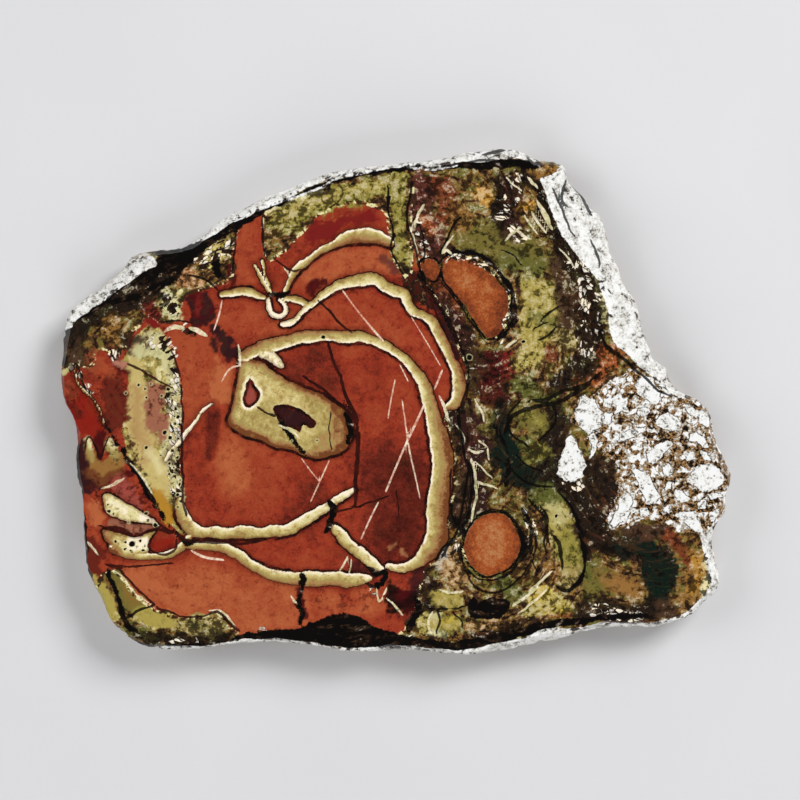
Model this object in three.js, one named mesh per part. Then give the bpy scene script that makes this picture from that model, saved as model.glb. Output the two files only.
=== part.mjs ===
// A slab of morrisonite jasper, sawn from one nodule: a polished front, a flat sawn back, and the
// nodule's own worn skin round the edge. Millimetres, +Z up, lying on its back with the polish up.
// The origin is under the middle of the slab, on the sawn back.
import * as THREE from 'three';

// Driving dimensions.
const SLAB_WIDTH = 112.3;
const SLAB_THICKNESS = 7;
const OUTLINE_POINTS = 264;

// The skin's outline, clockwise from the left-hand end of the long chalky edge, followed in pixels
// of the reference picture. The slab's width sets how many of them make a millimetre.
const OUTLINE_PX = [
  [64, 319], [82, 298], [104, 281], [121, 266], [130, 253], [157, 248], [181, 246], [200, 235],
  [215, 221], [238, 208], [268, 194], [300, 182], [325, 171], [362, 165], [405, 161], [440, 157],
  [466, 151], [494, 147], [524, 150], [539, 158], [564, 163], [570, 181], [584, 193], [591, 207],
  [602, 214], [610, 236], [612, 251], [621, 267], [627, 284], [639, 304], [643, 324], [651, 343],
  [655, 358], [668, 367], [676, 386], [699, 399], [712, 412], [717, 437], [729, 463], [734, 479],
  [728, 495], [728, 511], [720, 523], [714, 538], [720, 563], [721, 589], [706, 604], [688, 620],
  [668, 625], [655, 630], [625, 629], [588, 633], [552, 643], [528, 648], [492, 654], [450, 656],
  [412, 652], [378, 653], [338, 652], [303, 646], [250, 644], [205, 650], [165, 652], [134, 643],
  [110, 623], [100, 600], [88, 577], [83, 545], [81, 505], [74, 464], [75, 430], [61, 391], [61, 345],
];
const MIDDLE_PX = { x: 397, y: 401.5 };
const WIDTH_PX = 674;
const PX_PER_MM = WIDTH_PX / SLAB_WIDTH;

// The worn lip between the polish and the skin, at some points of the outline: how far in from the
// outline the polish stops, and how far the lip has dropped where it meets the skin.
const LIPS = [
  { at: [64, 319], width: 1.0, drop: 0.8 },
  { at: [104, 281], width: 2.3, drop: 2.0 },
  { at: [140, 252], width: 1.7, drop: 1.6 },
  { at: [200, 235], width: 1.1, drop: 1.3 },
  { at: [325, 171], width: 1.0, drop: 1.2 },
  { at: [440, 157], width: 0.8, drop: 1.0 },
  { at: [510, 148], width: 1.5, drop: 1.5 },
  { at: [564, 163], width: 0.7, drop: 0.8 },
  { at: [610, 236], width: 1.9, drop: 1.5 },
  { at: [643, 324], width: 1.8, drop: 1.4 },
  { at: [712, 412], width: 1.3, drop: 1.2 },
  { at: [734, 479], width: 1.0, drop: 0.9 },
  { at: [720, 563], width: 1.4, drop: 1.2 },
  { at: [688, 620], width: 0.9, drop: 1.0 },
  { at: [552, 643], width: 1.4, drop: 1.3 },
  { at: [450, 656], width: 0.9, drop: 1.0 },
  { at: [303, 646], width: 0.6, drop: 0.6 },
  { at: [134, 643], width: 0.8, drop: 0.9 },
  { at: [83, 545], width: 0.5, drop: 0.5 },
  { at: [61, 391], width: 0.5, drop: 0.5 },
];

// The skin, from the back (0) to the lip's foot (1): how far it stands inside the outline.
const SKIN = [
  { height: 0, inset: 0.75 },
  { height: 0.08, inset: 0.35 },
  { height: 0.3, inset: 0.15 },
  { height: 0.55, inset: 0.3 },
  { height: 0.8, inset: 0.1 },
  { height: 1, inset: 0 },
];
const LUMPS = [
  { waves: 11, depth: 0.28, lean: 2.1, phase: 0.4 },
  { waves: 23, depth: 0.2, lean: -3.3, phase: 2.2 },
  { waves: 41, depth: 0.13, lean: 5.2, phase: 4.1 },
];
const CHIPS = [
  { waves: 17, depth: 0.3, phase: 1.3 },
  { waves: 37, depth: 0.22, phase: 3.7 },
  { waves: 71, depth: 0.12, phase: 5.5 },
];

const fromPicture = ([x, y]) =>
  new THREE.Vector2((x - MIDDLE_PX.x) / PX_PER_MM, (MIDDLE_PX.y - y) / PX_PER_MM);

// The outline as evenly spaced points, anticlockwise seen from above, with the outward directions.
function outline() {
  const traced = OUTLINE_PX.map(fromPicture).reverse();
  const loop = new THREE.CatmullRomCurve3(
    traced.map((p) => new THREE.Vector3(p.x, p.y, 0)), true, 'centripetal');
  const points = loop.getSpacedPoints(OUTLINE_POINTS).slice(0, OUTLINE_POINTS);
  return points.map((point, i) => {
    const before = points[(i + OUTLINE_POINTS - 3) % OUTLINE_POINTS];
    const after = points[(i + 3) % OUTLINE_POINTS];
    const along = new THREE.Vector3().subVectors(after, before).normalize();
    return {
      x: point.x,
      y: point.y,
      outward: new THREE.Vector2(along.y, -along.x),
      turn: (2 * Math.PI * i) / OUTLINE_POINTS,
    };
  });
}

// The lip at a point of the outline, blended from the lips stated near it.
function lipAt(point) {
  let total = 0;
  let width = 0;
  let drop = 0;
  for (const lip of LIPS) {
    const place = fromPicture(lip.at);
    const weight = 1 / (0.5 + (place.x - point.x) ** 2 + (place.y - point.y) ** 2) ** 1.5;
    total += weight;
    width += weight * lip.width;
    drop += weight * lip.drop;
  }
  const chipped = CHIPS.reduce(
    (sum, chip) => sum + chip.depth * Math.sin(chip.waves * point.turn + chip.phase), 1);
  return { width: (width / total) * chipped, drop: (drop / total) * chipped };
}

// The places of the rings of points that make the skin and the lip, from the back up.
function rings(points) {
  const lips = points.map(lipAt);
  const skin = SKIN.map(({ height, inset }) => points.map((point, i) => {
    const lumps = LUMPS.reduce((sum, lump) => sum
      + lump.depth * Math.sin(lump.waves * point.turn + lump.lean * height + lump.phase), 0);
    const held = Math.sin(Math.PI * Math.min(1, height + 0.15));
    const inwards = inset + Math.abs(lumps) * held;
    const z = height * (SLAB_THICKNESS - lips[i].drop);
    return new THREE.Vector3(
      point.x - point.outward.x * inwards, point.y - point.outward.y * inwards, z);
  }));
  const polish = points.map((point, i) => new THREE.Vector3(
    point.x - point.outward.x * lips[i].width,
    point.y - point.outward.y * lips[i].width,
    SLAB_THICKNESS));
  return [...skin, polish];
}

// The slab starts as a straight extrusion of the outline, and each ring of it is then worn in.
function slabGeometry() {
  const points = outline();
  const worn = rings(points);
  const steps = worn.length - 1;
  const shape = new THREE.Shape(points.map((p) => new THREE.Vector2(p.x, p.y)));
  const geometry = new THREE.ExtrudeGeometry(shape, { depth: steps, steps, bevelEnabled: false });
  const key = (x, y) => `${x.toFixed(4)} ${y.toFixed(4)}`;
  const indexAt = new Map(points.map((p, i) => [key(Math.fround(p.x), Math.fround(p.y)), i]));
  const position = geometry.attributes.position;
  for (let v = 0; v < position.count; v += 1) {
    const i = indexAt.get(key(position.getX(v), position.getY(v)));
    const place = worn[Math.round(position.getZ(v))][i];
    position.setXYZ(v, place.x, place.y, place.z);
  }
  geometry.computeVertexNormals();
  return geometry;
}

const jasper = new THREE.MeshStandardMaterial({ color: 0x9c4a2c, roughness: 0.15, metalness: 0 });
const slab = new THREE.Mesh(slabGeometry(), jasper);
slab.name = 'jasper_slab';

const group = new THREE.Group();
group.add(slab);

export default group;
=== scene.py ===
import bmesh
import bpy
import numpy as np
from mathutils import Matrix, Vector, noise


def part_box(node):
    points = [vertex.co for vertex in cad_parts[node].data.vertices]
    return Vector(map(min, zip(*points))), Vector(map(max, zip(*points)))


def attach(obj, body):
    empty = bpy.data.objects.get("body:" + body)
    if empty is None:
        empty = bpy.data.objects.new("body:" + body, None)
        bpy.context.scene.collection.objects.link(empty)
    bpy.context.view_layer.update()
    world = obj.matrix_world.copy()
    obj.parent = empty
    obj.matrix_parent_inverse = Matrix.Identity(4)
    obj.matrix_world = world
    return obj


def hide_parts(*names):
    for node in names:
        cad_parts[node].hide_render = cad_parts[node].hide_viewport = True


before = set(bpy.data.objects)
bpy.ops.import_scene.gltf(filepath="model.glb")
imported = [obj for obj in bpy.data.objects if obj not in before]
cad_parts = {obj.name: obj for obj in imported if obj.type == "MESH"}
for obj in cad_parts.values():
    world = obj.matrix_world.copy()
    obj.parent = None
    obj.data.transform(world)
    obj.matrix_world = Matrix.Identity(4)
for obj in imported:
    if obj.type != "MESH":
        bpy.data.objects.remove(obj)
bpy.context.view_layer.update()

# Sizes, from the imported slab
NODE = "jasper_slab"
BACK, POLISH = (corner.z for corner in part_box(NODE))
LOW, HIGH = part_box(NODE)
MM = 0.001

# Where the slab lies in the reference picture
PICTURE_PX = 800
WIDTH_PX = 674
MIDDLE_PX = (397, 401.5)
PX_PER_MM = WIDTH_PX * MM / (HIGH.x - LOW.x)

# Mesh
POLISH_CELL = 0.345 * MM
BACK_CELL = 0.95 * MM
SKIN_CUTS = 2
STRIP = 0.6

# Pattern
REACH = 3.0
LEAN = (0.28, -0.2)
LINE_PARTS = 4

# How the markings' edges meander, in millimetres: broadly, closely and finely
SHAPE_DRIFT = (0.3, 0.16, 0)
WASH_DRIFT = (1.5, 0.9, 0.8)
FULL_DRIFT_FADE = 1.35

# The vector noise takes its seed from the clock unless one is set, and the edges would change at each run
DRIFT_SEED = 7

# Hairs, in millimetres: how far they taper past their ends, how soft they are and how far they are felt
HAIR_TAIL = 0.8
HAIR_SOFT = 0.09
HAIR_REACH = 1.2

# Relief, in millimetres
SKIN_LUMPS = 0.22
SKIN_GRIT = 0.1
SKIN_PITS = 0.7
RIM_SHARE = 0.3
CHALK_DROP = 0.04
CHALK_ROUGHNESS = 0.16
CHALK_SLOPE = 0.4

# Finishes
QUARTZ_IOR = 1.54
SAW_CENTRE = (-150, 60)
SAW_TURNS = 9.0

# Palette, as seen in even light
SCAB = (54, 17, 12)
BLOOD = (94, 32, 22)
BRICK = (138, 48, 30)
FLAME = (152, 68, 40)
TAN_RED = (168, 90, 54)
SCARLET = (126, 28, 18)
MAROON = (66, 12, 14)
CHERRY = (110, 26, 24)
WINE = (46, 20, 22)
PLUM = (88, 42, 36)
ROSE = (146, 66, 56)
CLAY = (146, 92, 70)
EMBER = (150, 74, 34)
CHESTNUT = (112, 54, 30)
SALMON = (204, 140, 116)
APRICOT = (172, 120, 76)
BONE = (236, 222, 196)
CREAM = (212, 202, 150)
WHEAT = (186, 166, 104)
KHAKI = (152, 134, 76)
TOFFEE = (138, 98, 50)
MUSTARD = (166, 120, 40)
OLIVE = (106, 96, 44)
LEAF = (66, 70, 30)
OCHRE = (176, 128, 48)
RUST = (106, 60, 32)
UMBER = (50, 34, 22)
INK = (9, 7, 6)
CELERY = (192, 186, 134)
HAY = (158, 142, 70)
SAGE = (146, 140, 88)
SAND = (186, 176, 120)
PEA = (136, 126, 56)
SULPHUR = (184, 160, 56)
HONEY = (132, 94, 44)
FERN = (86, 88, 38)
BARK = (66, 46, 32)
PEAT = (28, 21, 16)
TEAL = (12, 25, 19)
CHALK = (200, 198, 191)
SNOW = (226, 226, 224)
ASH = (158, 154, 146)
SLATE = (104, 100, 94)
TAN = (160, 122, 76)
DUST = (148, 132, 108)
SAW_DUST = (176, 166, 152)
CRUST_BROWN = (120, 96, 70)
CRUST_PALE = (196, 184, 162)

# Markings of the polished face, followed in pixels of the reference picture.
# Cream bands: x, y, width and age, which goes from cream through khaki to toffee. The painted highlight
# is on the named side of the way along the band, with painted shade towards the other edge; rims are the
# dark edges' widths on the left and the right.
CREAM_BANDS = {
    "ring": {
        "way": [(243, 357, 10, .55), (258, 350, 12, .55), (270, 346, 12, .5), (285, 342, 12, .5),
         (300, 338, 12, .5), (315, 336, 11, .5), (335, 336, 11, .45), (350, 337, 11, .45),
         (366, 338, 10, .4), (380, 343, 9, .35), (393, 350, 9, .35), (405, 359, 9, .35),
         (415, 370, 10, .4), (423, 383, 12, .45), (428, 398, 14, .5), (432, 412, 15, .55),
         (435, 425, 17, .6), (439, 440, 18, .65), (442, 455, 20, .75), (443, 468, 21, .8),
         (441, 482, 22, .85), (439, 495, 22, .85), (438, 510, 22, .85), (437, 522, 20, .8),
         (436, 538, 20, .75), (428, 552, 17, .65), (414, 564, 12, .4), (401, 568, 9, .2),
         (389, 566, 6, .1)],
        "bright": "right", "rims": (1.5, 3)},
    "arc": {
        "way": [(285, 294, 4, .4), (288, 283, 5, .4), (293, 273, 6, .4), (302, 264, 7, .4),
         (312, 257, 6, .42), (322, 250, 7, .45), (335, 244, 8, .52), (345, 239, 11, .58),
         (355, 236, 13, .6), (365, 235, 14, .6), (378, 237, 13, .6), (390, 242, 9, .6)],
        "bright": "left", "rims": (1, 3)},
    "shoulder band": {
        "way": [(222, 294, 6, .4), (235, 292, 8, .4), (250, 293, 8, .4), (264, 298, 4, .4)],
        "bright": "right", "rims": (2.5, 2.5)},
    "left prong": {
        "way": [(255, 266, 3, .25), (261, 277, 3.5, .3), (270, 294, 4, .3)],
        "bright": "left", "rims": (1.2, 1.5)},
    "right prong": {
        "way": [(262, 261, 2.5, .3), (265, 272, 3, .3), (270, 286, 3, .3)],
        "bright": "right", "rims": (1.2, 1.2)},
    "loop": {
        "way": [(268, 299, 4, 0), (269, 308, 4.5, 0), (273, 315, 4.5, 0), (280, 317, 4.5, 0),
         (286, 312, 4.5, 0), (284, 304, 4, 0), (279, 299, 3, 0)],
        "bright": "left", "rims": (2.5, 1.5)},
    "short band": {
        "way": [(285, 297, 4, .4), (299, 301, 7, .4), (311, 306, 4, .3)],
        "bright": "right", "rims": (2, 2)},
    "crest": {
        "way": [(283, 324, 5, .05), (291, 323, 6, .05), (299, 317, 5, .1), (305, 309, 5, .15),
         (315, 301, 6, .2), (328, 292, 7, .25), (338, 286, 8, .3), (350, 282, 10, .35),
         (360, 280, 12, .35), (370, 278, 12, .35), (378, 281, 11, .35), (386, 287, 11, .35),
         (395, 291, 11, .35), (404, 294, 10, .35), (408, 304, 9, .35), (414, 312, 9, .4),
         (424, 316, 9, .4), (432, 321, 9, .45), (438, 332, 10, .5), (444, 344, 10, .5),
         (450, 356, 10, .55), (456, 368, 11, .6), (459, 380, 12, .65), (460, 392, 13, .6),
         (456, 402, 12, .55), (449, 407, 7, .5)],
        "bright": "right", "rims": (1.5, 3)},
    "lower band": {
        "way": [(179, 500, 6, .35), (181, 512, 10, .4), (187, 524, 13, .45), (197, 531, 12, .4),
         (206, 533, 9.5, .35), (214, 532, 12, .35), (224, 534, 11, .35), (232, 534, 9.5, .35),
         (241, 532, 12, .35), (252, 533, 11, .35), (262, 533, 9.5, .35), (272, 531, 11.5, .35),
         (285, 530, 10, .3), (297, 525, 11, .3), (310, 518, 9.5, .25), (322, 510, 9, .2),
         (335, 502, 8, .15), (345, 495, 7, .1), (354, 490, 4, .1)],
        "bright": "left", "rims": (1.5, 3)},
    "bottom band": {
        "way": [(188, 544, 7, .4), (200, 546, 8, .45), (215, 547, 9, .45), (228, 550, 10, .45),
         (238, 556, 11, .45), (250, 564, 10, .45), (262, 570, 10, .45), (275, 575, 11, .45),
         (290, 578, 12, .5), (305, 579, 13, .5), (320, 579, 14, .5), (335, 579, 14, .5),
         (350, 580, 13, .45), (362, 580, 11, .3), (370, 579, 6, .15)],
        "bright": "left", "rims": (2.5, .8)},
    "cup": {
        "way": [(110, 549, 6, .6), (121, 553, 7, .5), (135, 556, 7, .4), (150, 557, 7, .4),
         (164, 556, 7, .4), (175, 552, 8, .45), (183, 545, 8, .45), (188, 538, 7, .4)],
        "bright": "left", "rims": (1.5, .8)},
    "slanting band": {
        "way": [(335, 529, 8, .3), (343, 538, 11, .35), (353, 548, 11, .35), (363, 556, 11, .3),
         (372, 563, 10, .2), (381, 569, 6, .1)],
        "bright": "left", "rims": (2.5, 2)},
    "white streak": {
        "way": [(166, 460, 3, .1), (175, 446, 4, .05), (185, 433, 4, 0), (197, 418, 3, 0),
         (206, 408, 2, 0), (213, 404, 1.2, 0)],
        "bright": "left", "rims": (.6, .6)},
    "beaded vein": {
        "way": [(74, 370, 2, .6), (78, 384, 2, .6), (85, 392, 2.4, .5), (94, 400, 1.8, .7),
         (101, 413, 2.2, .6), (104, 425, 1.6, .7)],
        "bright": "left", "rims": (1, 1)},
}

# Cream patches: age, dark rim and outline.
CREAM_PATCHES = {
    "egg": (.7, 3, [(240, 365), (248, 361), (262, 362), (272, 372), (285, 380), (300, 385), (315, 392),
        (330, 400), (341, 408), (350, 423), (353, 437), (346, 449), (330, 456), (310, 457), (290, 450),
        (270, 445), (250, 437), (236, 431), (228, 424), (230, 410), (234, 395), (238, 380)]),
    "upper lens": (.16, 2, [(103, 498), (108, 494), (117, 497), (133, 506), (146, 515), (159, 525),
        (148, 524), (134, 521), (119, 519), (106, 513)]),
    "lower lens": (.3, 2, [(103, 530), (117, 533), (134, 536), (148, 534), (156, 532), (149, 540),
        (148, 549), (140, 556), (122, 556), (112, 549)]),
    "ring's foot": (.05, 2, [(255, 352), (263, 348), (271, 351), (279, 357), (284, 366), (278, 368),
        (270, 362), (261, 358)]),
}
EGG_EYES = {
    "teardrop": [(250, 378), (257, 388), (260, 396), (256, 404), (248, 408), (243, 402), (245, 390)],
    "dark eye": [(272, 408), (281, 405), (291, 405), (300, 409), (309, 414), (315, 421), (312, 428),
        (304, 425), (300, 431), (291, 428), (280, 423)],
}

# The moss half and other mossy ground, and red islands in it.
MOSS_PATCHES = {
    "right half": [(409, 168), (413, 190), (414, 205), (410, 228), (413, 245), (420, 262), (427, 285),
        (438, 302), (449, 322), (460, 345), (466, 365), (467, 385), (461, 400), (450, 412), (446, 425),
        (451, 441), (453, 458), (453, 490), (449, 520), (441, 545), (433, 562), (424, 576), (418, 592),
        (414, 610), (405, 630), (400, 665), (745, 665), (745, 130), (409, 130)],
    "top arch": [(266, 212), (275, 195), (300, 180), (330, 150), (412, 140), (412, 190), (413, 215),
        (410, 240), (414, 262), (405, 277), (396, 262), (391, 250), (389, 235), (388, 222), (385, 213),
        (378, 207), (365, 203), (352, 202), (342, 205), (335, 205), (325, 212), (313, 220), (305, 228),
        (297, 236), (290, 245), (283, 252), (277, 258), (270, 262), (266, 255), (264, 240), (263, 225)],
    "bottom corner": [(103, 575), (110, 569), (118, 575), (128, 585), (138, 597), (150, 607), (163, 612),
        (173, 615), (190, 618), (205, 618), (215, 613), (224, 617), (231, 627), (238, 636), (232, 660),
        (150, 665), (110, 640), (90, 610)],
    "left shoulder": [(45, 325), (80, 295), (130, 250), (190, 225), (215, 215), (240, 205), (233, 250),
        (234, 272), (216, 285), (190, 291), (181, 305), (177, 320), (162, 322), (145, 318), (132, 333),
        (120, 352), (102, 350), (90, 364), (74, 366), (55, 362)],
}

# Patches lighter than their surroundings: the dotted tongue, the leaf and lesser ones.
KHAKI_PATCHES = {
    "tongue": [(128, 350), (140, 330), (158, 326), (168, 345), (176, 362), (179, 385), (180, 412),
        (179, 440), (180, 470), (180, 500), (185, 517), (190, 527), (180, 534), (168, 522), (156, 507),
        (147, 490), (138, 474), (129, 460), (124, 440), (121, 420), (126, 402), (130, 388), (126, 372),
        (121, 362)],
    "leaf": [(527, 495), (541, 491), (559, 495), (570, 508), (575, 526), (580, 545), (582, 565),
        (577, 581), (566, 587), (557, 579), (561, 565), (555, 551), (548, 540), (550, 526), (545, 515),
        (536, 505)],
    "pale shoulder": [(158, 300), (170, 290), (184, 288), (180, 300), (176, 318), (166, 314)],
    "upper shoulder": [(203, 250), (216, 240), (232, 236), (230, 252), (218, 262), (208, 270)],
}

# Warm islands in the moss: the two large orbs and lesser ones.
EMBER_PATCHES = {
    "upper orb": [(443, 259), (456, 256), (472, 260), (484, 268), (496, 278), (505, 291), (508, 305),
        (507, 319), (500, 332), (490, 337), (481, 332), (474, 321), (465, 307), (456, 294), (449, 286),
        (445, 277)],
    "lower orb": [(488, 514), (504, 515), (515, 527), (520, 544), (513, 562), (500, 572), (486, 575),
        (472, 567), (465, 551), (467, 533), (476, 520)],
    "small orb": [(421, 264), (427, 259), (434, 260), (440, 269), (437, 280), (429, 278), (423, 271)],
}

# White rind and the chips in the breccia.
RIND_PATCHES = {
    "left rim": [(45, 338), (66, 328), (85, 313), (103, 299), (119, 287), (138, 275), (150, 269),
        (157, 265), (150, 259), (140, 256), (130, 252), (118, 245), (80, 275), (45, 312)],
    "upper rim": [(188, 244), (203, 238), (215, 232), (225, 224), (232, 219), (240, 216), (250, 213),
        (262, 207), (272, 203), (282, 199), (292, 194), (302, 189), (315, 183), (325, 178), (345, 172),
        (362, 169), (400, 165), (440, 161), (440, 140), (362, 145), (300, 160), (238, 185), (200, 215),
        (184, 235)],
    "upper corner": [(436, 161), (460, 160), (478, 163), (500, 159), (520, 158), (538, 159), (547, 155),
        (540, 135), (494, 130), (440, 140)],
    "right rind": [(541, 179), (550, 175), (566, 168), (590, 160), (640, 230), (680, 330), (705, 385),
        (684, 396), (670, 391), (660, 385), (650, 375), (640, 366), (630, 358), (620, 350), (614, 343),
        (610, 330), (607, 312), (602, 292), (596, 278), (588, 268), (579, 258), (570, 246), (562, 236),
        (555, 222), (549, 206), (545, 192)],
    "bottom rim": [(150, 651), (165, 651), (205, 648), (235, 643), (250, 641.5), (303, 643.5),
        (338, 649.5), (378, 650.5), (412, 649.5), (450, 653), (475, 651), (500, 645), (525, 640),
        (535, 635), (545, 629), (570, 630), (590, 628), (615, 626), (645, 626), (668, 621), (688, 614),
        (700, 602), (711, 590), (709, 565), (704, 548), (703, 533), (740, 530), (745, 600), (700, 645),
        (640, 655), (540, 670), (450, 680), (300, 670), (150, 672)],
}
RIND_STREAKS = {
    "inner thread": [(250, 212, 1.5), (290, 199, 2), (320, 188, 2), (340, 177, 2), (370, 171, 2)],
    "second thread": [(408, 169, 1.5), (430, 169, 2), (457, 165, 2)],
}
BRECCIA = [
    (577, 400), (590, 396), (605, 386), (622, 375), (632, 369), (645, 373), (662, 387), (682, 394),
    (705, 396), (720, 412), (728, 440), (738, 463), (744, 480), (738, 500), (734, 515), (722, 533),
    (706, 541), (697, 534), (683, 534), (668, 526), (650, 520), (636, 524), (626, 527), (612, 528),
    (607, 520), (613, 505), (617, 490), (620, 476), (616, 463), (604, 453), (592, 447), (587, 434),
    (574, 424), (573, 412),
]
SHARDS = [
    [(580, 397), (583, 394), (588, 398), (594, 399), (597, 407), (603, 413), (601, 427), (593, 432),
     (583, 430), (576, 420), (575, 412), (578, 407)],
    [(566, 437), (571, 434), (576, 439), (579, 448), (583, 455), (587, 466), (582, 476), (575, 481),
     (563, 480), (557, 473), (559, 458), (565, 447)],
    [(635, 385), (643, 376), (652, 378), (656, 386), (662, 393), (660, 404), (653, 405), (648, 400),
     (638, 394)],
    [(618, 441), (622, 433), (628, 430), (646, 427), (647, 431), (633, 437)],
    [(655, 423), (661, 416), (668, 413), (678, 417), (683, 425), (676, 431), (664, 429)],
    [(688, 440), (690, 434), (696, 431), (703, 436), (709, 447), (704, 447), (697, 441)],
    [(647, 455), (657, 443), (668, 439), (673, 443), (666, 452), (657, 461), (648, 463)],
    [(632, 470), (637, 468), (649, 475), (653, 483), (662, 499), (655, 503), (648, 504), (642, 493)],
    [(609, 523), (616, 512), (619, 498), (629, 494), (634, 502), (628, 513), (618, 524), (613, 527)],
    [(686, 481), (694, 469), (700, 465), (709, 463), (719, 469), (724, 480), (717, 488), (702, 491),
     (695, 485)],
    [(674, 515), (680, 512), (696, 511), (701, 523), (706, 536), (693, 529), (683, 522)],
    [(706, 494), (729, 491), (727, 496), (712, 499)],
    [(589, 437), (594, 433), (597, 441), (595, 456), (590, 458), (592, 447)],
    [(604, 400), (611, 396), (614, 403), (610, 409), (604, 407)],
    [(613, 397), (620, 392), (624, 398), (629, 397), (626, 406), (628, 414), (620, 411), (615, 415),
     (616, 406)],
    [(605, 414), (613, 412), (612, 422), (605, 424)],
    [(682, 404), (690, 405), (700, 413), (697, 417), (689, 413)],
    [(700, 410), (710, 414), (713, 424), (706, 428), (699, 420)],
    [(699, 449), (707, 452), (712, 461), (704, 460)],
    [(663, 466), (671, 463), (674, 471), (668, 477), (662, 473)],
    [(676, 489), (684, 492), (690, 500), (682, 503), (675, 497)],
    [(667, 483), (674, 480), (672, 488), (665, 490)], [(698, 501), (706, 499), (706, 509), (699, 508)],
    [(710, 513), (720, 509), (719, 519), (711, 523)],
    [(637, 411), (646, 408), (652, 412), (646, 417), (638, 416)],
    [(663, 507), (671, 505), (672, 512), (664, 514)], [(722, 440), (727, 450), (724, 457), (718, 447)],
    [(640, 509), (648, 508), (651, 515), (642, 517)], [(686, 452), (694, 450), (695, 459), (687, 460)],
    [(624, 509), (630, 514), (625, 521), (619, 523)],
]

# Black flats and thick streaks, as x, y and width.
INK_STREAKS = {
    "seam line": [(424, 284, 3), (436, 302, 4), (447, 322, 5), (457, 342, 4)],
    "band under the rind": [(62, 330, 3), (78, 319, 5), (95, 307, 7), (110, 296, 7), (124, 286, 8),
        (143, 278, 12), (158, 268, 17), (175, 262, 22), (190, 252, 16), (205, 243, 12), (220, 234, 11),
        (242, 219, 12), (260, 209, 10), (281, 202, 6), (307, 191, 5), (330, 182, 5), (345, 177, 5),
        (373, 171, 7), (400, 168, 7), (440, 165, 8), (480, 166, 9), (510, 164, 10), (540, 164, 8)],
    "wisps at the edge": [(126, 254, 5), (140, 250, 10), (158, 249, 14), (176, 248, 18), (190, 240, 8)],
    "bottom edge": [(125, 640, 4), (150, 648, 6), (190, 647, 7), (225, 645, 7), (240, 640, 12),
        (262, 638, 14), (285, 637, 14), (300, 636, 17), (315, 632, 23), (330, 631, 30), (345, 631, 34),
        (358, 633, 32), (370, 638, 24), (385, 641, 20), (400, 643, 16), (415, 645, 16), (432, 647, 13),
        (455, 647, 11), (480, 644, 14), (505, 638, 11), (530, 631, 9), (560, 623, 8), (590, 620, 7),
        (620, 617, 6), (645, 616, 5)],
    "bottom lip": [(235, 650, 8), (303, 651, 8), (338, 656, 8), (378, 658, 8), (412, 657, 8),
        (450, 661, 8), (480, 658, 8)],
    "left lip": [(60, 376, 3), (59, 392, 4), (66, 410, 4), (73, 430, 4), (75, 450, 5), (77, 470, 5),
        (82, 500, 4), (84, 530, 4), (86, 560, 4), (91, 582, 4), (98, 600, 3)],
    "corner divide": [(108, 566, 3), (110, 578, 4), (116, 592, 4), (121, 606, 5), (124, 620, 6),
        (135, 632, 6)],
    "diagonal": [(106, 427, 2), (113, 437, 3), (122, 450, 4), (130, 462, 5), (137, 473, 5.5),
        (144, 485, 5.5), (150, 497, 5), (157, 508, 4.5), (166, 521, 4), (177, 534, 4)],
    "vertical crack": [(303, 584, 3), (301, 594, 5), (298, 604, 6), (302, 614, 5), (299, 624, 5)],
    "knot": [(180, 537, 4), (189, 543, 6), (196, 540, 4)],
    "shoulder drop": [(216, 254, 7), (215, 265, 9), (217, 275, 5)],
    "prong knot": [(268, 294, 4), (276, 294, 6), (285, 294, 4), (290, 292, 2)],
    "eye tail": [(281, 420, 6), (287, 432, 6), (295, 443, 5.5), (304, 452, 4.5), (309, 458, 3)],
    "orb beads": [(447, 254, 3), (462, 251, 5), (478, 255, 4), (490, 262, 6), (500, 272, 4),
        (508, 285, 6), (514, 300, 5), (514, 316, 6), (508, 330, 4), (498, 339, 2.5)],
    "egg end": [(344, 414, 3), (349, 424, 5), (351, 434, 5), (349, 444, 3)],
    "band split": [(329, 503, 4), (334, 508, 6), (333, 516, 6), (330, 524, 7), (326, 532, 4)],
    "band notch": [(301, 575, 4), (303, 580, 6), (300, 584, 4)],
    "crossing": [(368, 568, 4), (378, 574, 5), (386, 572, 6), (384, 582, 6), (376, 588, 4)],
    "black window": [(473, 601, 8), (474, 612, 14), (484, 609, 22), (496, 608, 22), (503, 606, 14)],
    "by the window": [(415, 598, 6), (418, 608, 9), (414, 620, 8), (409, 630, 6)],
    "leaf edge": [(563, 495, 2), (572, 508, 3.5), (578, 522, 3.5), (583, 543, 4), (585, 562, 4.5),
        (580, 580, 5), (568, 590, 4)],
    "shoulder line": [(112, 303, 4), (128, 297, 8), (148, 290, 9), (165, 284, 8), (180, 274, 5)],
    "moss gate": [(494, 424, 4), (500, 436, 6), (507, 452, 5), (508, 470, 6), (506, 485, 3)],
    "seam head": [(418, 268, 4), (421, 276, 7), (425, 284, 5)],
    "column blots": [(390, 198, 6), (389, 201, 5)],
    "column blot": [(393, 236, 6), (392, 240, 5)],
    "orb blot": [(513, 296, 5), (513, 308, 6), (510, 320, 4)],
    "lower orb blot": [(520, 531, 5), (524, 542, 7), (522, 554, 4)],
}

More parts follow.
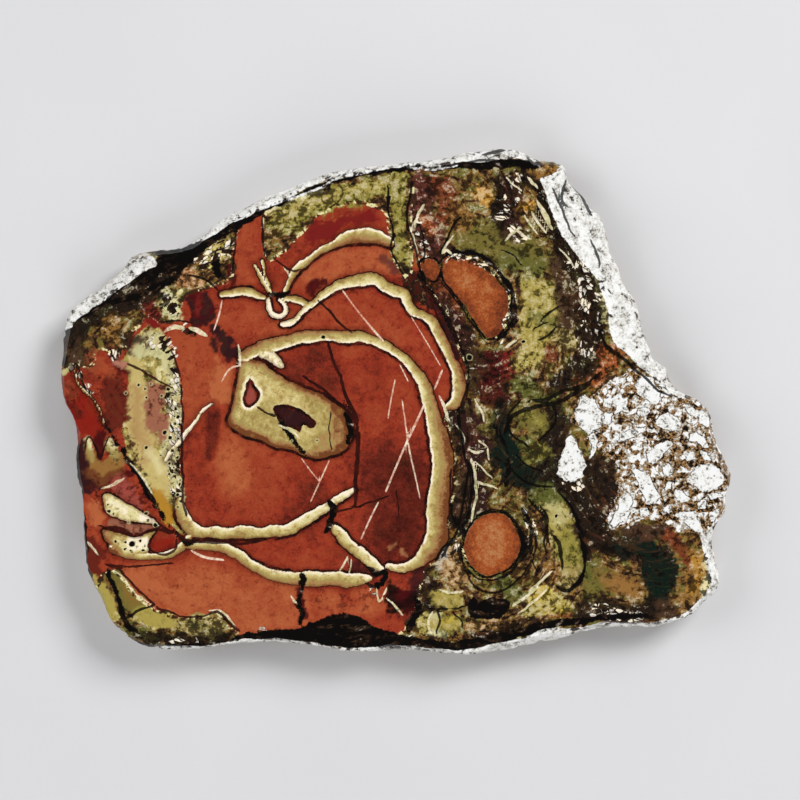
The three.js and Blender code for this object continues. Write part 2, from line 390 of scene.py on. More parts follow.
# Thin dark lines: x, y and width.
DARK_HAIRS = [
    [(568, 181, 2), (564, 190, 4), (562, 199, 4), (567, 207, 2)],
    [(574, 184, 3), (580, 193, 5), (587, 203, 6), (592, 213, 3)],
    [(553, 190, 2), (560, 205, 3), (566, 222, 3), (574, 236, 2)],
    [(590, 240, 2), (598, 254, 3), (600, 268, 2)],
    [(441, 166, 2), (470, 162, 3), (500, 161, 3), (534, 161, 2)],
    [(484, 156, 1.5), (494, 153, 3), (509, 150, 2)],
    [(124, 619, 4), (133, 613, 3), (142, 609, 3), (152, 606, 2)],
    [(107, 564, 2), (118, 569, 3), (127, 577, 3), (136, 586, 3), (146, 597, 3), (158, 607, 3),
     (170, 612, 2.5), (190, 617, 2), (205, 617, 2), (214, 612, 3), (223, 615, 4), (230, 623, 4),
     (238, 630, 4)],
    [(85, 451, 1.5), (86, 441, 2), (90, 437, 2), (96, 445, 2), (101, 459, 2.5), (105, 446, 2),
     (109, 437, 2)],
    [(160, 524, 2), (168, 530, 4), (180, 537, 4), (193, 541, 4), (215, 543, 4), (245, 543, 3),
     (262, 541, 2)],
    [(98, 526, 2), (108, 528, 3), (120, 532, 3), (135, 534, 3), (148, 532, 2.5), (158, 529, 3),
     (170, 533, 3)],
    [(106, 563, 2), (118, 566, 2.5), (135, 567, 2), (155, 566, 2), (172, 564, 2)],
    [(150, 540, 2), (148, 546, 2.5), (153, 552, 3), (163, 555, 3), (172, 552, 3), (177, 546, 2.5),
     (176, 539, 2)],
    [(128, 364, 3), (140, 370, 3), (150, 376, 3), (160, 381, 2), (172, 388, 1.5)],
    [(190, 276, 2), (200, 277, 3), (210, 283, 3), (217, 290, 2)],
    [(258, 407, 2.5), (266, 412, 2.5), (274, 416, 3)],
    [(331, 412, 1.5), (329, 425, 1.5), (329, 438, 1.5), (331, 450, 1.5)],
    [(303, 376, 2), (318, 386, 3), (334, 399, 4), (346, 411, 4.5), (357, 425, 4)],
    [(328, 345, 3), (334, 360, 4), (341, 380, 4), (347, 398, 4.5), (353, 412, 6), (358, 425, 7)],
    [(318, 300, 1.5), (330, 312, 3), (340, 323, 3), (352, 333, 1.5)],
    [(336, 512, 3.5), (346, 511, 2.5), (360, 506, 2), (375, 501, 2), (389, 495, 1.2)],
    [(413, 182, 2), (411, 195, 3), (408, 210, 3), (408, 225, 3), (413, 240, 2), (417, 255, 2.5),
     (420, 268, 3)],
    [(424, 282, 3), (433, 298, 3), (444, 312, 2.5), (452, 328, 3), (460, 345, 2.5), (467, 362, 3),
     (469, 380, 3), (464, 396, 3), (458, 410, 4)],
    [(458, 410, 4), (460, 430, 3.5), (464, 450, 4), (467, 470, 3), (464, 495, 3), (460, 520, 3),
     (452, 540, 3), (442, 556, 3)],
    [(388, 186, 2), (390, 200, 3), (388, 212, 2), (391, 225, 2), (393, 237, 3), (391, 247, 2),
     (396, 262, 2), (402, 274, 2)],
    [(443, 284, 1.5), (455, 299, 2), (465, 314, 2), (474, 328, 2), (482, 338, 1.5)],
    [(476, 516, 1.5), (490, 510, 2), (505, 512, 3), (517, 524, 3.5), (522, 540, 4), (518, 560, 4),
     (508, 574, 3), (494, 580, 2), (476, 577, 2), (464, 566, 2), (461, 548, 2), (464, 530, 2)],
    [(465, 572, 2), (474, 586, 2), (490, 592, 2.5), (508, 588, 2.5), (522, 576, 2), (532, 560, 2)],
    [(437, 610, 2), (441, 622, 3), (436, 634, 2)], [(428, 608, 2), (446, 609, 3), (464, 606, 2)],
    [(452, 612, 2), (460, 618, 2), (462, 628, 2)],
    [(524, 520, 2), (533, 530, 2.5), (536, 545, 2.5), (533, 560, 2), (538, 572, 2)],
    [(559, 493, 3), (571, 506, 4), (577, 524, 3), (582, 543, 3), (585, 563, 4), (580, 581, 5),
     (567, 590, 5), (557, 586, 3)],
    [(528, 499, 3), (537, 508, 3), (544, 518, 3), (547, 530, 3), (543, 542, 2.5), (547, 552, 2)],
    [(600, 332, 3), (606, 345, 4), (618, 356, 4), (632, 366, 3.5), (646, 379, 3), (660, 391, 3),
     (672, 396, 2)],
    [(600, 372, 3), (590, 380, 5), (575, 388, 5), (560, 392, 5), (548, 398, 5), (535, 401, 3)],
    [(180, 385, 2), (182, 410, 2.5), (181, 440, 3), (183, 470, 3), (182, 500, 3), (186, 516, 3)],
    [(172, 352, 1.5), (178, 366, 2), (181, 380, 2)], [(160, 322, 1.5), (178, 321, 2), (194, 323, 1.5)],
    [(358, 428, 7), (358, 450, 6), (356, 470, 5.5), (356, 490, 5), (355, 506, 3)],
    [(396, 490, 1.5), (399, 502, 1.5), (400, 515, 1)],
    [(237, 225, 2), (236, 240, 2), (234, 256, 2), (232, 270, 2)],
    [(263, 212, 2), (262, 228, 2.5), (264, 244, 2.5), (266, 256, 2)],
    [(103, 527, 2), (120, 528, 2), (133, 533, 2)],
    [(520, 400, 2), (510, 412, 3), (508, 426, 3), (516, 438, 2.5), (528, 446, 2)],
    [(528, 402, 2), (540, 400, 3), (552, 406, 3), (556, 420, 3), (548, 434, 2.5), (538, 440, 2)],
    [(512, 470, 2), (522, 480, 3), (536, 486, 3), (552, 488, 2)],
    [(516, 455, 2), (528, 466, 2.5), (544, 472, 2)],
    [(440, 252, 2), (446, 240, 2), (452, 226, 2.5), (460, 218, 2)],
    [(276, 261, 1.5), (285, 267, 2.5), (294, 271, 2), (300, 269, 1)],
    [(424, 262, 2), (424, 245, 1.5), (420, 225, 1.5)], [(449, 340, 1), (440, 322, 1.5), (430, 300, 1.5)],
    [(553, 535, 3), (560, 545, 5), (562, 556, 5), (563, 568, 3)],
    [(505, 433, 3), (509, 422, 5), (516, 414, 5), (530, 408, 5), (545, 405, 5), (560, 401, 5),
     (575, 393, 5), (588, 384, 4)],
    [(468, 462, 3), (472, 480, 3), (470, 500, 3), (466, 520, 4), (458, 536, 4)],
    [(452, 470, 2), (450, 490, 2), (452, 510, 3), (456, 524, 3)],
    [(436, 560, 3), (440, 551, 4), (448, 545, 4), (456, 543, 3)],
    [(521, 508, 3), (528, 518, 4), (531, 532, 4), (528, 548, 4), (520, 562, 3)],
    [(540, 505, 2), (547, 518, 3), (546, 534, 3), (550, 545, 2)],
    [(500, 250, 1), (512, 256, 2), (522, 266, 1)], [(540, 320, 1), (548, 312, 2.5), (558, 306, 1)],
    [(532, 330, 1), (540, 324, 2.5), (548, 322, 1)], [(538, 340, 2), (548, 336, 3), (556, 328, 2)],
]

# Pale pink fractures, mostly straight: x, y and width.
PALE_HAIRS = [
    [(343, 291, 1.4), (360, 314, 1.6), (383, 341, 2.4)], [(435, 388, 2), (442, 371, 2)],
    [(412, 318, .8), (426, 341, .9), (440, 365, .8)], [(395, 380, 1), (391, 400, 1.2), (388, 418, .8)],
    [(400, 365, .9), (408, 381, 1)],
    [(425, 403, 2), (415, 425, 2.4), (406, 444, 2.2), (396, 467, 1.8), (386, 491, 1.8)],
    [(378, 503, 1.2), (370, 519, 1.4), (361, 539, 1.2)],
    [(402, 400, 1), (405, 420, 1.4), (409, 448, 1.6), (415, 475, 1.2), (420, 498, 1)],
    [(329, 461, 1), (320, 481, 1.2), (311, 501, 1)], [(302, 459, .8), (310, 470, 1), (319, 481, .8)],
    [(222, 381, 1), (227, 372, 1.6), (233, 367, 2), (239, 366, 1.2)],
    [(192, 551, 2), (204, 557, 3), (223, 560, 2)], [(222, 301, 1), (219, 315, 1.6), (214, 330, 1)],
]

# Cream slivers that bend with the stone: x, y and width.
SLIVERS = [
    [(347, 558, 1.8), (339, 571, 1.6)], [(351, 561, 1.6), (349, 572, 1.4)],
    [(507, 177, 1.5), (513, 183, 2), (521, 190, 1.5)], [(529, 177, 3), (533, 182, 4), (537, 187, 2)],
    [(536, 200, 2), (541, 208, 4), (547, 219, 4), (552, 229, 2)],
    [(532, 212, 2), (538, 221, 3), (546, 232, 2.5)], [(557, 226, 1.5), (564, 234, 3), (571, 241, 2)],
    [(525, 216, 1.5), (531, 225, 2.5), (537, 234, 2)], [(506, 240, 1.5), (513, 232, 2.5), (519, 227, 2)],
    [(517, 229, 2), (523, 235, 3), (530, 239, 2)], [(560, 248, 1.2), (567, 257, 2), (574, 268, 1.2)],
    [(513, 606, 2.4), (524, 598, 3), (536, 589, 2.4)], [(519, 613, 2), (532, 603, 2.6), (546, 591, 2)],
    [(530, 591, 2), (541, 581, 2.6), (552, 571, 2)], [(432, 612, 2), (428, 622, 2.4), (431, 634, 2)],
    [(440, 590, 2), (450, 593, 2.4), (462, 591, 2)], [(505, 347, 2.4), (515, 341, 2.4)],
    [(423, 205, 2), (419, 215, 3), (415, 227, 2.4)],
    [(112, 570, 1), (122, 576, 1.4), (130, 586, 1.4), (142, 598, 1.4), (154, 607, 1)],
    [(211, 611, 1.6), (220, 611, 3), (229, 618, 3), (235, 627, 1.6)],
    [(103, 488, 2), (113, 485, 3), (123, 479, 2)], [(238, 346, 2), (240, 356, 3), (241, 366, 1.5)],
    [(386, 590, 2.4), (380, 602, 2), (376, 590, 1.4)],
    [(388, 599, 1.6), (396, 608, 2.4), (403, 615, 1.6)],
    [(279, 425, 2.4), (289, 429, 3.4), (299, 437, 3)], [(88, 543, 2), (92, 548, 2.4), (97, 554, 1.6)],
    [(475, 482, 2), (486, 484, 3), (497, 488, 2)], [(476, 462, 1.2), (484, 470, 2), (492, 478, 1)],
    [(440, 396, 2), (445, 408, 3), (450, 420, 2)], [(470, 449, 2), (476, 452, 3), (482, 451, 2)],
    [(474, 398, 1.5), (480, 410, 2), (483, 422, 1.5)], [(456, 425, 1), (462, 434, 1.5), (464, 444, 1)],
    [(478, 440, 1.5), (487, 449, 2), (490, 460, 1)], [(165, 331, 3), (172, 328, 6), (182, 328, 5)],
    [(191, 328, 4), (198, 331, 7), (206, 336, 5)],
    [(131, 463, 1), (137, 470, 2), (144, 480, 2.5), (152, 493, 2)], [(291, 597, 2), (295, 603, 3)],
    [(472, 460, 3), (475, 480, 3.4), (476, 494, 2.4), (472, 512, 3), (471, 520, 2)],
    [(284, 268, 1), (287, 271, 2), (288, 275, 1)], [(411, 228, 1.5), (414, 240, 2.5), (417, 253, 1.5)],
    [(443, 252, 3), (447, 250, 3), (451, 253, 2)], [(452, 236, 1.5), (447, 243, 2.5), (443, 249, 2)],
]

# The moss grew in sheets round these circles: x, y and radius.
SHEET_GUIDES = [
    (477, 298, 32), (492, 544, 30), (530, 435, 14), (650, 460, 78), (350, 310, 72), (366, 613, 400),
    (330, 320, 250), (350, 440, 95),
]

# Single dark dots with pale halos: x, y and width.
DOTS = [
    (146, 513, 4), (108, 512, 4), (148, 521, 4), (155, 525, 5), (107, 505, 3), (115, 541, 4),
    (125, 541, 4), (132, 543, 7), (140, 540, 4), (125, 549, 4), (132, 551, 4), (142, 550, 4),
    (137, 546, 3), (145, 545, 3), (120, 545, 3), (146, 447, 4), (161, 455, 3), (139, 384, 4),
    (146, 388, 4), (147, 398, 4), (162, 397, 4), (170, 400, 3), (175, 410, 4), (177, 418, 4),
    (174, 424, 4), (178, 438, 4), (169, 437, 4), (164, 432, 4), (172, 451, 4), (178, 458, 4),
    (170, 463, 4), (175, 467, 3), (169, 474, 4), (175, 476, 4), (179, 483, 4), (172, 486, 3),
    (177, 494, 4), (181, 502, 4), (178, 508, 3), (163, 447, 3), (125, 393, 3.5), (523, 342, 5),
    (470, 357, 6), (556, 516, 4), (180, 390, 3), (181, 399, 3), (181, 410, 3), (152, 384, 3),
    (168, 389, 4), (172, 396, 3), (176, 402, 3), (168, 412, 3), (317, 440, 3), (291, 441, 2.5),
    (323, 337, 5), (112, 514, 3), (130, 522, 3), (119, 516, 2.5),
]

# Lighter and darker places in the red: strength, fade and strokes of x, y and width.
GLOW = [
    (.95, 26, [(230, 455, 10), (238, 478, 14)]), (.55, 40, [(232, 440, 6), (262, 480, 30)]),
    (.75, 30, [(140, 585, 14), (190, 595, 34), (240, 605, 44), (285, 608, 30)]),
    (.95, 20, [(136, 578, 6), (165, 594, 10), (190, 604, 8)]),
    (.55, 16, [(325, 604, 12), (370, 602, 12)]), (.3, 24, [(240, 318, 20), (278, 330, 16)]),
    (.35, 10, [(490, 530, 20), (492, 558, 20)]), (.25, 7, [(458, 270, 6), (466, 286, 6)]),
    (-.5, 8, [(498, 300, 6), (494, 326, 6)]), (.5, 26, [(178, 360, 30), (196, 390, 30), (226, 380, 14)]),
    (.65, 18, [(312, 275, 8), (345, 262, 14), (380, 262, 14)]),
    (.35, 20, [(245, 230, 10), (244, 270, 14)]), (.35, 14, [(92, 512, 6), (94, 532, 6)]),
    (.3, 30, [(300, 325, 16), (360, 320, 20), (410, 345, 16)]),
    (.2, 30, [(400, 400, 14), (392, 440, 10)]),
    (-.7, 36, [(392, 470, 22), (400, 505, 26), (396, 535, 22)]),
    (-.3, 36, [(275, 480, 26), (300, 500, 20)]), (.1, 22, [(262, 548, 10), (320, 552, 22)]),
    (-.3, 26, [(320, 355, 14), (300, 366, 10), (330, 380, 16)]),
    (-.75, 6, [(214, 414, 8), (212, 435, 8), (211, 455, 5)]), (-.4, 12, [(330, 572, 4), (352, 600, 4)]),
    (-.3, 20, [(420, 560, 6), (410, 540, 6)]),
]

# Washes of colour, soft at the edge: colour, strength, fade and strokes of x, y and width.
LEFT_WASHES = [
    (BARK, .9, 8, [(70, 350, 24)]),
    (PEAT, .95, 9, [(62, 342, 10), (84, 326, 16), (110, 308, 16), (140, 292, 16), (165, 280, 10)]),
    (BARK, .9, 8, [(72, 352, 16), (88, 358, 10)]), (BARK, .8, 6, [(128, 340, 10), (136, 346, 14)]),
    (HONEY, .95, 6, [(112, 322, 10), (118, 330, 16), (112, 340, 8)]),
    (CHERRY, .95, 5, [(148, 308, 8), (152, 316, 14), (154, 324, 8)]),
    (CELERY, .95, 5, [(172, 296, 10), (170, 308, 12), (174, 318, 6)]),
    (MAROON, .95, 6, [(196, 296, 12), (202, 308, 20), (200, 320, 12)]),
    (APRICOT, .7, 6, [(184, 274, 10), (194, 278, 8)]), (SULPHUR, .5, 6, [(218, 248, 12), (212, 262, 8)]),
    (CELERY, .75, 6, [(142, 338, 8), (156, 345, 14), (166, 356, 10)]),
    (FLAME, .6, 10, [(182, 342, 10), (198, 348, 16), (210, 352, 10)]),
    (TAN_RED, .85, 8, [(220, 366, 10), (221, 388, 12), (224, 400, 6)]),
    (MAROON, .8, 6, [(112, 350, 6), (122, 368, 6), (130, 372, 4)]),
    (SALMON, .5, 4, [(116, 358, 3), (123, 363, 4)]), (FLAME, .7, 8, [(96, 362, 10), (104, 372, 12)]),
    (BLOOD, .95, 9, [(112, 384, 12), (116, 404, 12), (112, 422, 12)]),
    (SCARLET, .9, 8, [(76, 398, 12), (84, 412, 18), (90, 428, 12)]),
    (FLAME, .7, 5, [(66, 386, 8), (72, 394, 8)]),
    (WINE, .95, 7, [(80, 445, 6), (82, 470, 10), (90, 486, 16)]), (WINE, .95, 6, [(86, 502, 10)]),
    (MAROON, .85, 6, [(104, 480, 10), (118, 476, 10), (128, 474, 6)]),
    (RUST, .9, 5, [(88, 470, 6), (102, 478, 8), (120, 470, 6)]),
    (TOFFEE, 1, 3, [(89, 450, 6), (94, 462, 9), (104, 470, 9), (114, 463, 13), (123, 458, 8)]),
    (KHAKI, 1, 3, [(89, 446, 5), (92, 458, 4)]), (KHAKI, 1, 3, [(110, 446, 7), (116, 456, 7)]),
    (CREAM, 1, 2.5, [(88, 440, 3), (91, 447, 2)]), (CREAM, 1, 2.5, [(109, 441, 4), (114, 447, 3)]),
    (MAROON, 1, 3, [(99, 436, 8), (101, 448, 6), (101, 457, 3)]),
    (SAND, .8, 3, [(63, 371, 3), (69, 367, 3)]), (MAROON, .6, 4, [(70, 398, 3), (80, 415, 4)]),
    (MAROON, .6, 4, [(64, 384, 2), (74, 392, 2)]),
    (INK, .9, 4, [(122, 334, 5), (130, 341, 6), (138, 339, 6), (144, 347, 5)]),
    (BONE, .9, 2, [(115, 361, 2)]), (BONE, .9, 2, [(120, 354, 2)]),
    (WINE, 1, 3, [(188, 300, 3), (194, 308, 4), (201, 302, 3)]),
    (WINE, 1, 3, [(205, 294, 3), (210, 303, 4), (204, 312, 3)]),
    (WINE, 1, 3, [(194, 320, 4), (206, 322, 4), (213, 314, 3)]),
    (CHERRY, .9, 3, [(200, 296, 3), (198, 313, 3)]), (WINE, .9, 4, [(214, 328, 4), (220, 336, 6)]),
    (WINE, .9, 4, [(224, 342, 5), (230, 340, 4)]), (WINE, .9, 4, [(228, 351, 5), (238, 353, 5)]),
    (WINE, .9, 3, [(214, 342, 3), (216, 350, 3)]),
    (ROSE, .95, 5, [(120, 484, 10), (128, 494, 14), (136, 505, 8)]),
    (TAN_RED, .85, 6, [(92, 508, 8), (94, 520, 10)]), (BLOOD, .9, 7, [(92, 545, 10), (94, 570, 10)]),
    (CLAY, .9, 4, [(112, 523, 5), (130, 526, 6), (148, 529, 5)]),
    (SCARLET, .7, 5, [(156, 545, 8), (168, 543, 8)]),
    (WHEAT, .95, 6, [(134, 365, 10), (140, 385, 12), (136, 405, 16), (136, 425, 18), (144, 445, 18),
     (154, 465, 16), (162, 485, 14)]),
    (TAN, .7, 9, [(138, 388, 5), (135, 410, 9), (140, 435, 9), (150, 458, 6)]),
    (CREAM, .6, 6, [(150, 452, 6), (160, 470, 6)]),
    (CELERY, .9, 5, [(140, 350, 8), (154, 346, 10), (166, 358, 10), (172, 372, 8)]),
    (CLAY, .85, 9, [(157, 388, 6), (159, 402, 10), (157, 420, 8), (163, 434, 3)]),
    (CELERY, .95, 3.5, [(172, 366, 6), (173, 385, 7), (175, 402, 7), (174, 420, 7), (170, 440, 9),
     (173, 460, 10), (176, 480, 9), (180, 500, 7)]),
    (MUSTARD, .95, 5, [(156, 494, 8), (163, 505, 12), (170, 517, 12)]),
    (HAY, .97, 6, [(96, 586, 12), (105, 604, 12), (114, 618, 8)]),
    (OLIVE, .97, 6, [(114, 574, 6), (124, 588, 14), (136, 602, 12)]),
    (HONEY, .6, 6, [(126, 586, 4), (138, 600, 4)]), (OCHRE, .4, 6, [(146, 616, 8), (168, 620, 8)]),
    (CELERY, .6, 3, [(92, 588, 2), (100, 604, 2)]),
    (HAY, .97, 6, [(138, 616, 10), (150, 618, 14), (160, 619, 14), (170, 620, 8)]),
    (KHAKI, .9, 6, [(182, 624, 12), (200, 626, 16), (215, 628, 12)]),
    (FERN, .5, 5, [(190, 622, 5), (206, 630, 6)]),
    (INK, .8, 5, [(136, 636, 8), (180, 640, 8), (225, 640, 8)]),
]
TOP_WASHES = [
    (PEA, .9, 8, [(275, 225, 10), (290, 214, 16), (312, 204, 16), (340, 194, 16), (372, 190, 16),
     (395, 186, 14)]),
    (HAY, .7, 5, [(280, 218, 6), (300, 206, 8), (325, 196, 8), (352, 190, 8), (380, 186, 8)]),
    (HAY, .5, 5, [(401, 196, 6), (402, 216, 6), (402, 246, 6)]),
    (CREAM, .7, 3, [(262, 212, 2), (285, 203, 2), (300, 196, 2), (320, 189, 2)]),
    (PEA, .8, 6, [(399, 180, 16), (400, 205, 12), (400, 225, 12), (402, 250, 14), (404, 268, 10)]),
    (CHERRY, .8, 8, [(316, 232, 12), (335, 226, 14), (348, 219, 6), (375, 212, 4)]),
    (MAROON, .8, 6, [(312, 290, 8), (322, 286, 5)]), (MAROON, .85, 6, [(228, 268, 6), (231, 279, 6)]),
    (WINE, .8, 6, [(228, 346, 5), (233, 356, 5)]), (PLUM, .7, 6, [(386, 258, 6), (394, 272, 8)]),
    (CHERRY, .5, 8, [(245, 250, 6), (256, 252, 5)]),
    (PLUM, .95, 7, [(422, 182, 12), (420, 205, 14), (427, 232, 18), (428, 255, 18)]),
    (EMBER, .8, 4, [(426, 218, 5), (431, 232, 6)]),
    (EMBER, .9, 5, [(424, 264, 10), (431, 275, 9), (438, 288, 7)]),
    (PEAT, .95, 5, [(408, 276, 10), (420, 290, 22), (431, 301, 10)]),
    (CHESTNUT, .9, 6, [(441, 276, 8), (448, 289, 11), (457, 303, 7)]),
    (WINE, .95, 7, [(438, 298, 8), (446, 314, 12), (456, 332, 18), (464, 348, 16)]),
]
RIGHT_WASHES = [
    (CHESTNUT, .95, 9, [(440, 186, 14), (450, 196, 14), (446, 212, 12)]),
    (HONEY, .7, 9, [(462, 206, 12), (460, 222, 14)]), (OCHRE, .9, 6, [(482, 192, 9), (488, 202, 7)]),
    (OLIVE, .95, 10, [(462, 238, 14), (490, 240, 26), (520, 252, 26), (545, 262, 16)]),
    (OCHRE, .8, 6, [(514, 202, 10), (524, 206, 12)]), (HONEY, .95, 6, [(545, 171, 10), (556, 174, 12)]),
    (INK, .9, 7, [(506, 184, 14), (505, 205, 14), (503, 224, 10)]),
    (WINE, .8, 6, [(514, 190, 8), (512, 232, 10)]),
    (PEAT, .9, 8, [(528, 172, 8), (538, 190, 8), (545, 212, 10)]),
    (FERN, .7, 9, [(505, 262, 14), (530, 270, 14)]),
    (SAND, .8, 5, [(549, 185, 4), (555, 205, 5), (562, 225, 4)]),
    (HAY, .95, 10, [(528, 285, 12), (540, 300, 26), (540, 320, 28), (534, 340, 22), (530, 358, 14)]),
    (FERN, .7, 6, [(536, 312, 5), (548, 322, 7), (556, 328, 6)]), (CHESTNUT, .7, 6, [(548, 276, 8)]),
    (BARK, .9, 7, [(556, 262, 10), (562, 285, 14), (566, 310, 14), (564, 330, 12)]),
    (INK, .97, 7, [(538, 190, 8), (554, 225, 14), (570, 254, 18), (583, 277, 20), (590, 296, 22),
     (592, 318, 24), (592, 340, 22)]),
    (SAND, .6, 4, [(598, 276, 4), (603, 300, 5), (607, 318, 4)]),
    (CHESTNUT, .8, 4, [(549, 350, 9), (550, 358, 8)]), (KHAKI, .8, 6, [(560, 336, 10), (572, 342, 8)]),
    (PEAT, .95, 6, [(596, 350, 12), (582, 362, 16), (568, 374, 16), (556, 384, 12)]),
    (EMBER, .6, 8, [(606, 352, 8), (612, 362, 12), (600, 372, 10), (588, 382, 10)]),
    (PEAT, .95, 8, [(456, 405, 10), (462, 430, 20), (470, 455, 24), (470, 485, 22), (460, 520, 16)]),
    (WINE, .8, 7, [(466, 420, 16), (478, 448, 14), (466, 470, 12), (484, 494, 8)]),
    (OLIVE, .9, 6, [(490, 392, 10), (494, 410, 12), (488, 428, 8)]),
    (BARK, .9, 5, [(462, 478, 8), (462, 505, 8)]), (WINE, .9, 6, [(484, 492, 10), (482, 504, 10)]),
    (HONEY, .8, 5, [(440, 545, 8), (446, 532, 8)]), (ASH, .8, 4, [(444, 552, 6), (441, 566, 6)]),
    (MAROON, .95, 8, [(488, 358, 12), (494, 374, 22), (493, 396, 18)]),
    (CHERRY, .8, 6, [(504, 356, 6), (509, 368, 10), (510, 376, 7)]),
    (UMBER, .7, 6, [(474, 352, 10), (474, 385, 10)]), (SULPHUR, .8, 4, [(478, 368, 10)]),
    (FERN, .9, 8, [(520, 386, 12), (536, 393, 14), (545, 399, 8)]),
    (TEAL, .97, 8, [(500, 408, 8), (500, 430, 16), (506, 452, 20), (516, 470, 24), (532, 482, 22),
     (550, 486, 12)]),
    (PEAT, .95, 7, [(552, 410, 10), (560, 425, 16), (552, 442, 14), (556, 460, 12), (548, 476, 12)]),
    (OLIVE, .95, 7, [(522, 418, 14), (534, 420, 18), (542, 432, 10)]),
    (PEA, .7, 4, [(526, 412, 6), (538, 422, 7)]), (OCHRE, .35, 5, [(540, 414, 6)]),
    (FERN, .9, 5, [(524, 442, 8), (538, 450, 10), (530, 458, 8), (545, 460, 8)]),
    (PEA, .6, 4, [(538, 444, 3), (548, 452, 4), (530, 462, 3)]),
    (PEAT, .97, 9, [(575, 500, 16), (590, 490, 16), (600, 468, 18), (612, 460, 12), (606, 505, 22),
     (590, 525, 26), (605, 540, 18), (620, 552, 8)]),
    (PEAT, .9, 8, [(560, 486, 8), (552, 470, 10), (556, 450, 10), (590, 555, 8), (592, 542, 12)]),
    (BARK, .7, 6, [(604, 462, 14), (612, 474, 8)]), (TAN, .9, 5, [(625, 478, 8), (626, 492, 10)]),
    (TAN, .8, 5, [(630, 448, 16), (634, 456, 14)]),
    (FERN, .9, 7, [(532, 496, 6), (545, 494, 8), (556, 500, 8)]),
    (HAY, .95, 7, [(552, 512, 14), (562, 524, 14)]), (CELERY, .45, 6, [(550, 506, 6), (561, 520, 7)]),
    (PEA, .95, 8, [(566, 540, 14), (572, 555, 12)]), (HONEY, .85, 6, [(552, 565, 8), (557, 575, 8)]),
    (KHAKI, .9, 6, [(572, 570, 10), (570, 582, 8)]),
    (OLIVE, .9, 9, [(585, 570, 12), (592, 582, 18), (590, 595, 12)]),
    (FERN, .8, 7, [(590, 572, 10), (600, 580, 12)]),
    (TOFFEE, .85, 14, [(610, 582, 8), (626, 584, 10), (634, 590, 6)]),
    (BARK, .9, 6, [(624, 530, 6), (645, 531, 8), (665, 532, 8)]),
    (HONEY, .9, 8, [(690, 548, 6), (698, 562, 10), (696, 580, 12), (688, 594, 12)]),
    (OCHRE, .7, 5, [(697, 556, 5), (702, 572, 4), (692, 588, 6)]),
    (CHESTNUT, .95, 5, [(670, 537, 6), (682, 548, 8), (690, 562, 6)]),
    (TEAL, .98, 7, [(622, 544, 12), (640, 546, 16), (654, 556, 24), (660, 572, 28), (658, 588, 26),
     (654, 602, 14)]),
    (CREAM, .8, 5, [(708, 556, 6), (712, 575, 8), (706, 592, 6)]),
    (BARK, .9, 7, [(660, 608, 10), (676, 606, 12)]), (HONEY, .8, 6, [(688, 600, 6), (680, 598, 5)]),
    (PEAT, .95, 7, [(578, 608, 8), (600, 612, 14), (625, 614, 14), (645, 612, 10)]),
    (SULPHUR, .95, 7, [(542, 600, 16), (554, 606, 16)]), (HAY, .8, 6, [(530, 612, 8), (562, 600, 8)]),
    (CHESTNUT, .8, 3, [(550, 616, 3), (568, 613, 4)]),
    (FERN, .9, 8, [(508, 582, 10), (516, 592, 12), (508, 602, 8)]),
    (TAN, .7, 7, [(450, 563, 12), (456, 580, 12)]),
    (PEAT, .9, 6, [(430, 585, 8), (434, 600, 8), (424, 612, 8), (436, 616, 5)]),
    (HAY, 1, 4, [(434, 597, 8), (446, 600, 14), (458, 600, 10)]), (SULPHUR, .7, 4, [(448, 602, 4)]),
    (HAY, 1, 4, [(426, 618, 8), (438, 623, 14), (450, 627, 16), (458, 620, 10)]),
    (SULPHUR, .5, 3, [(446, 622, 6), (454, 618, 5)]), (CELERY, .7, 3, [(430, 616, 3), (440, 617, 3)]),
    (CELERY, .9, 3, [(430, 634, 4), (446, 637, 4)]), (HAY, .9, 4, [(422, 622, 10), (426, 630, 8)]),
    (TAN, .6, 5, [(470, 628, 6), (486, 624, 6), (500, 622, 6)]),
    (INK, .9, 6, [(476, 640, 8), (500, 637, 8), (516, 626, 6)]),
    (SAGE, .8, 4, [(512, 640, 4), (528, 636, 5)]),
    (MAROON, 1, 4, [(398, 594, 10), (404, 598, 14), (408, 606, 10)]), (CHERRY, .6, 4, [(402, 597, 5)]),
    (INK, .8, 6, [(390, 588, 5), (396, 613, 7), (418, 592, 5)]), (ROSE, .7, 5, [(384, 612, 8)]),
    (APRICOT, .5, 3, [(390, 547, 3), (396, 543, 2)]), (APRICOT, .5, 3, [(400, 549, 3), (405, 554, 3)]),
    (WINE, .7, 8, [(350, 570, 5), (366, 572, 6)]),
    (WINE, .7, 8, [(415, 572, 6), (426, 578, 8), (412, 584, 8)]),
    (MAROON, .8, 5, [(300, 590, 3), (301, 604, 5), (303, 618, 5)]),
    (WINE, 1, 4, [(280, 413, 10), (292, 417, 14), (306, 421, 10)]),
    (ROSE, 1, 3, [(250, 390, 6), (251, 400, 9)]),
]

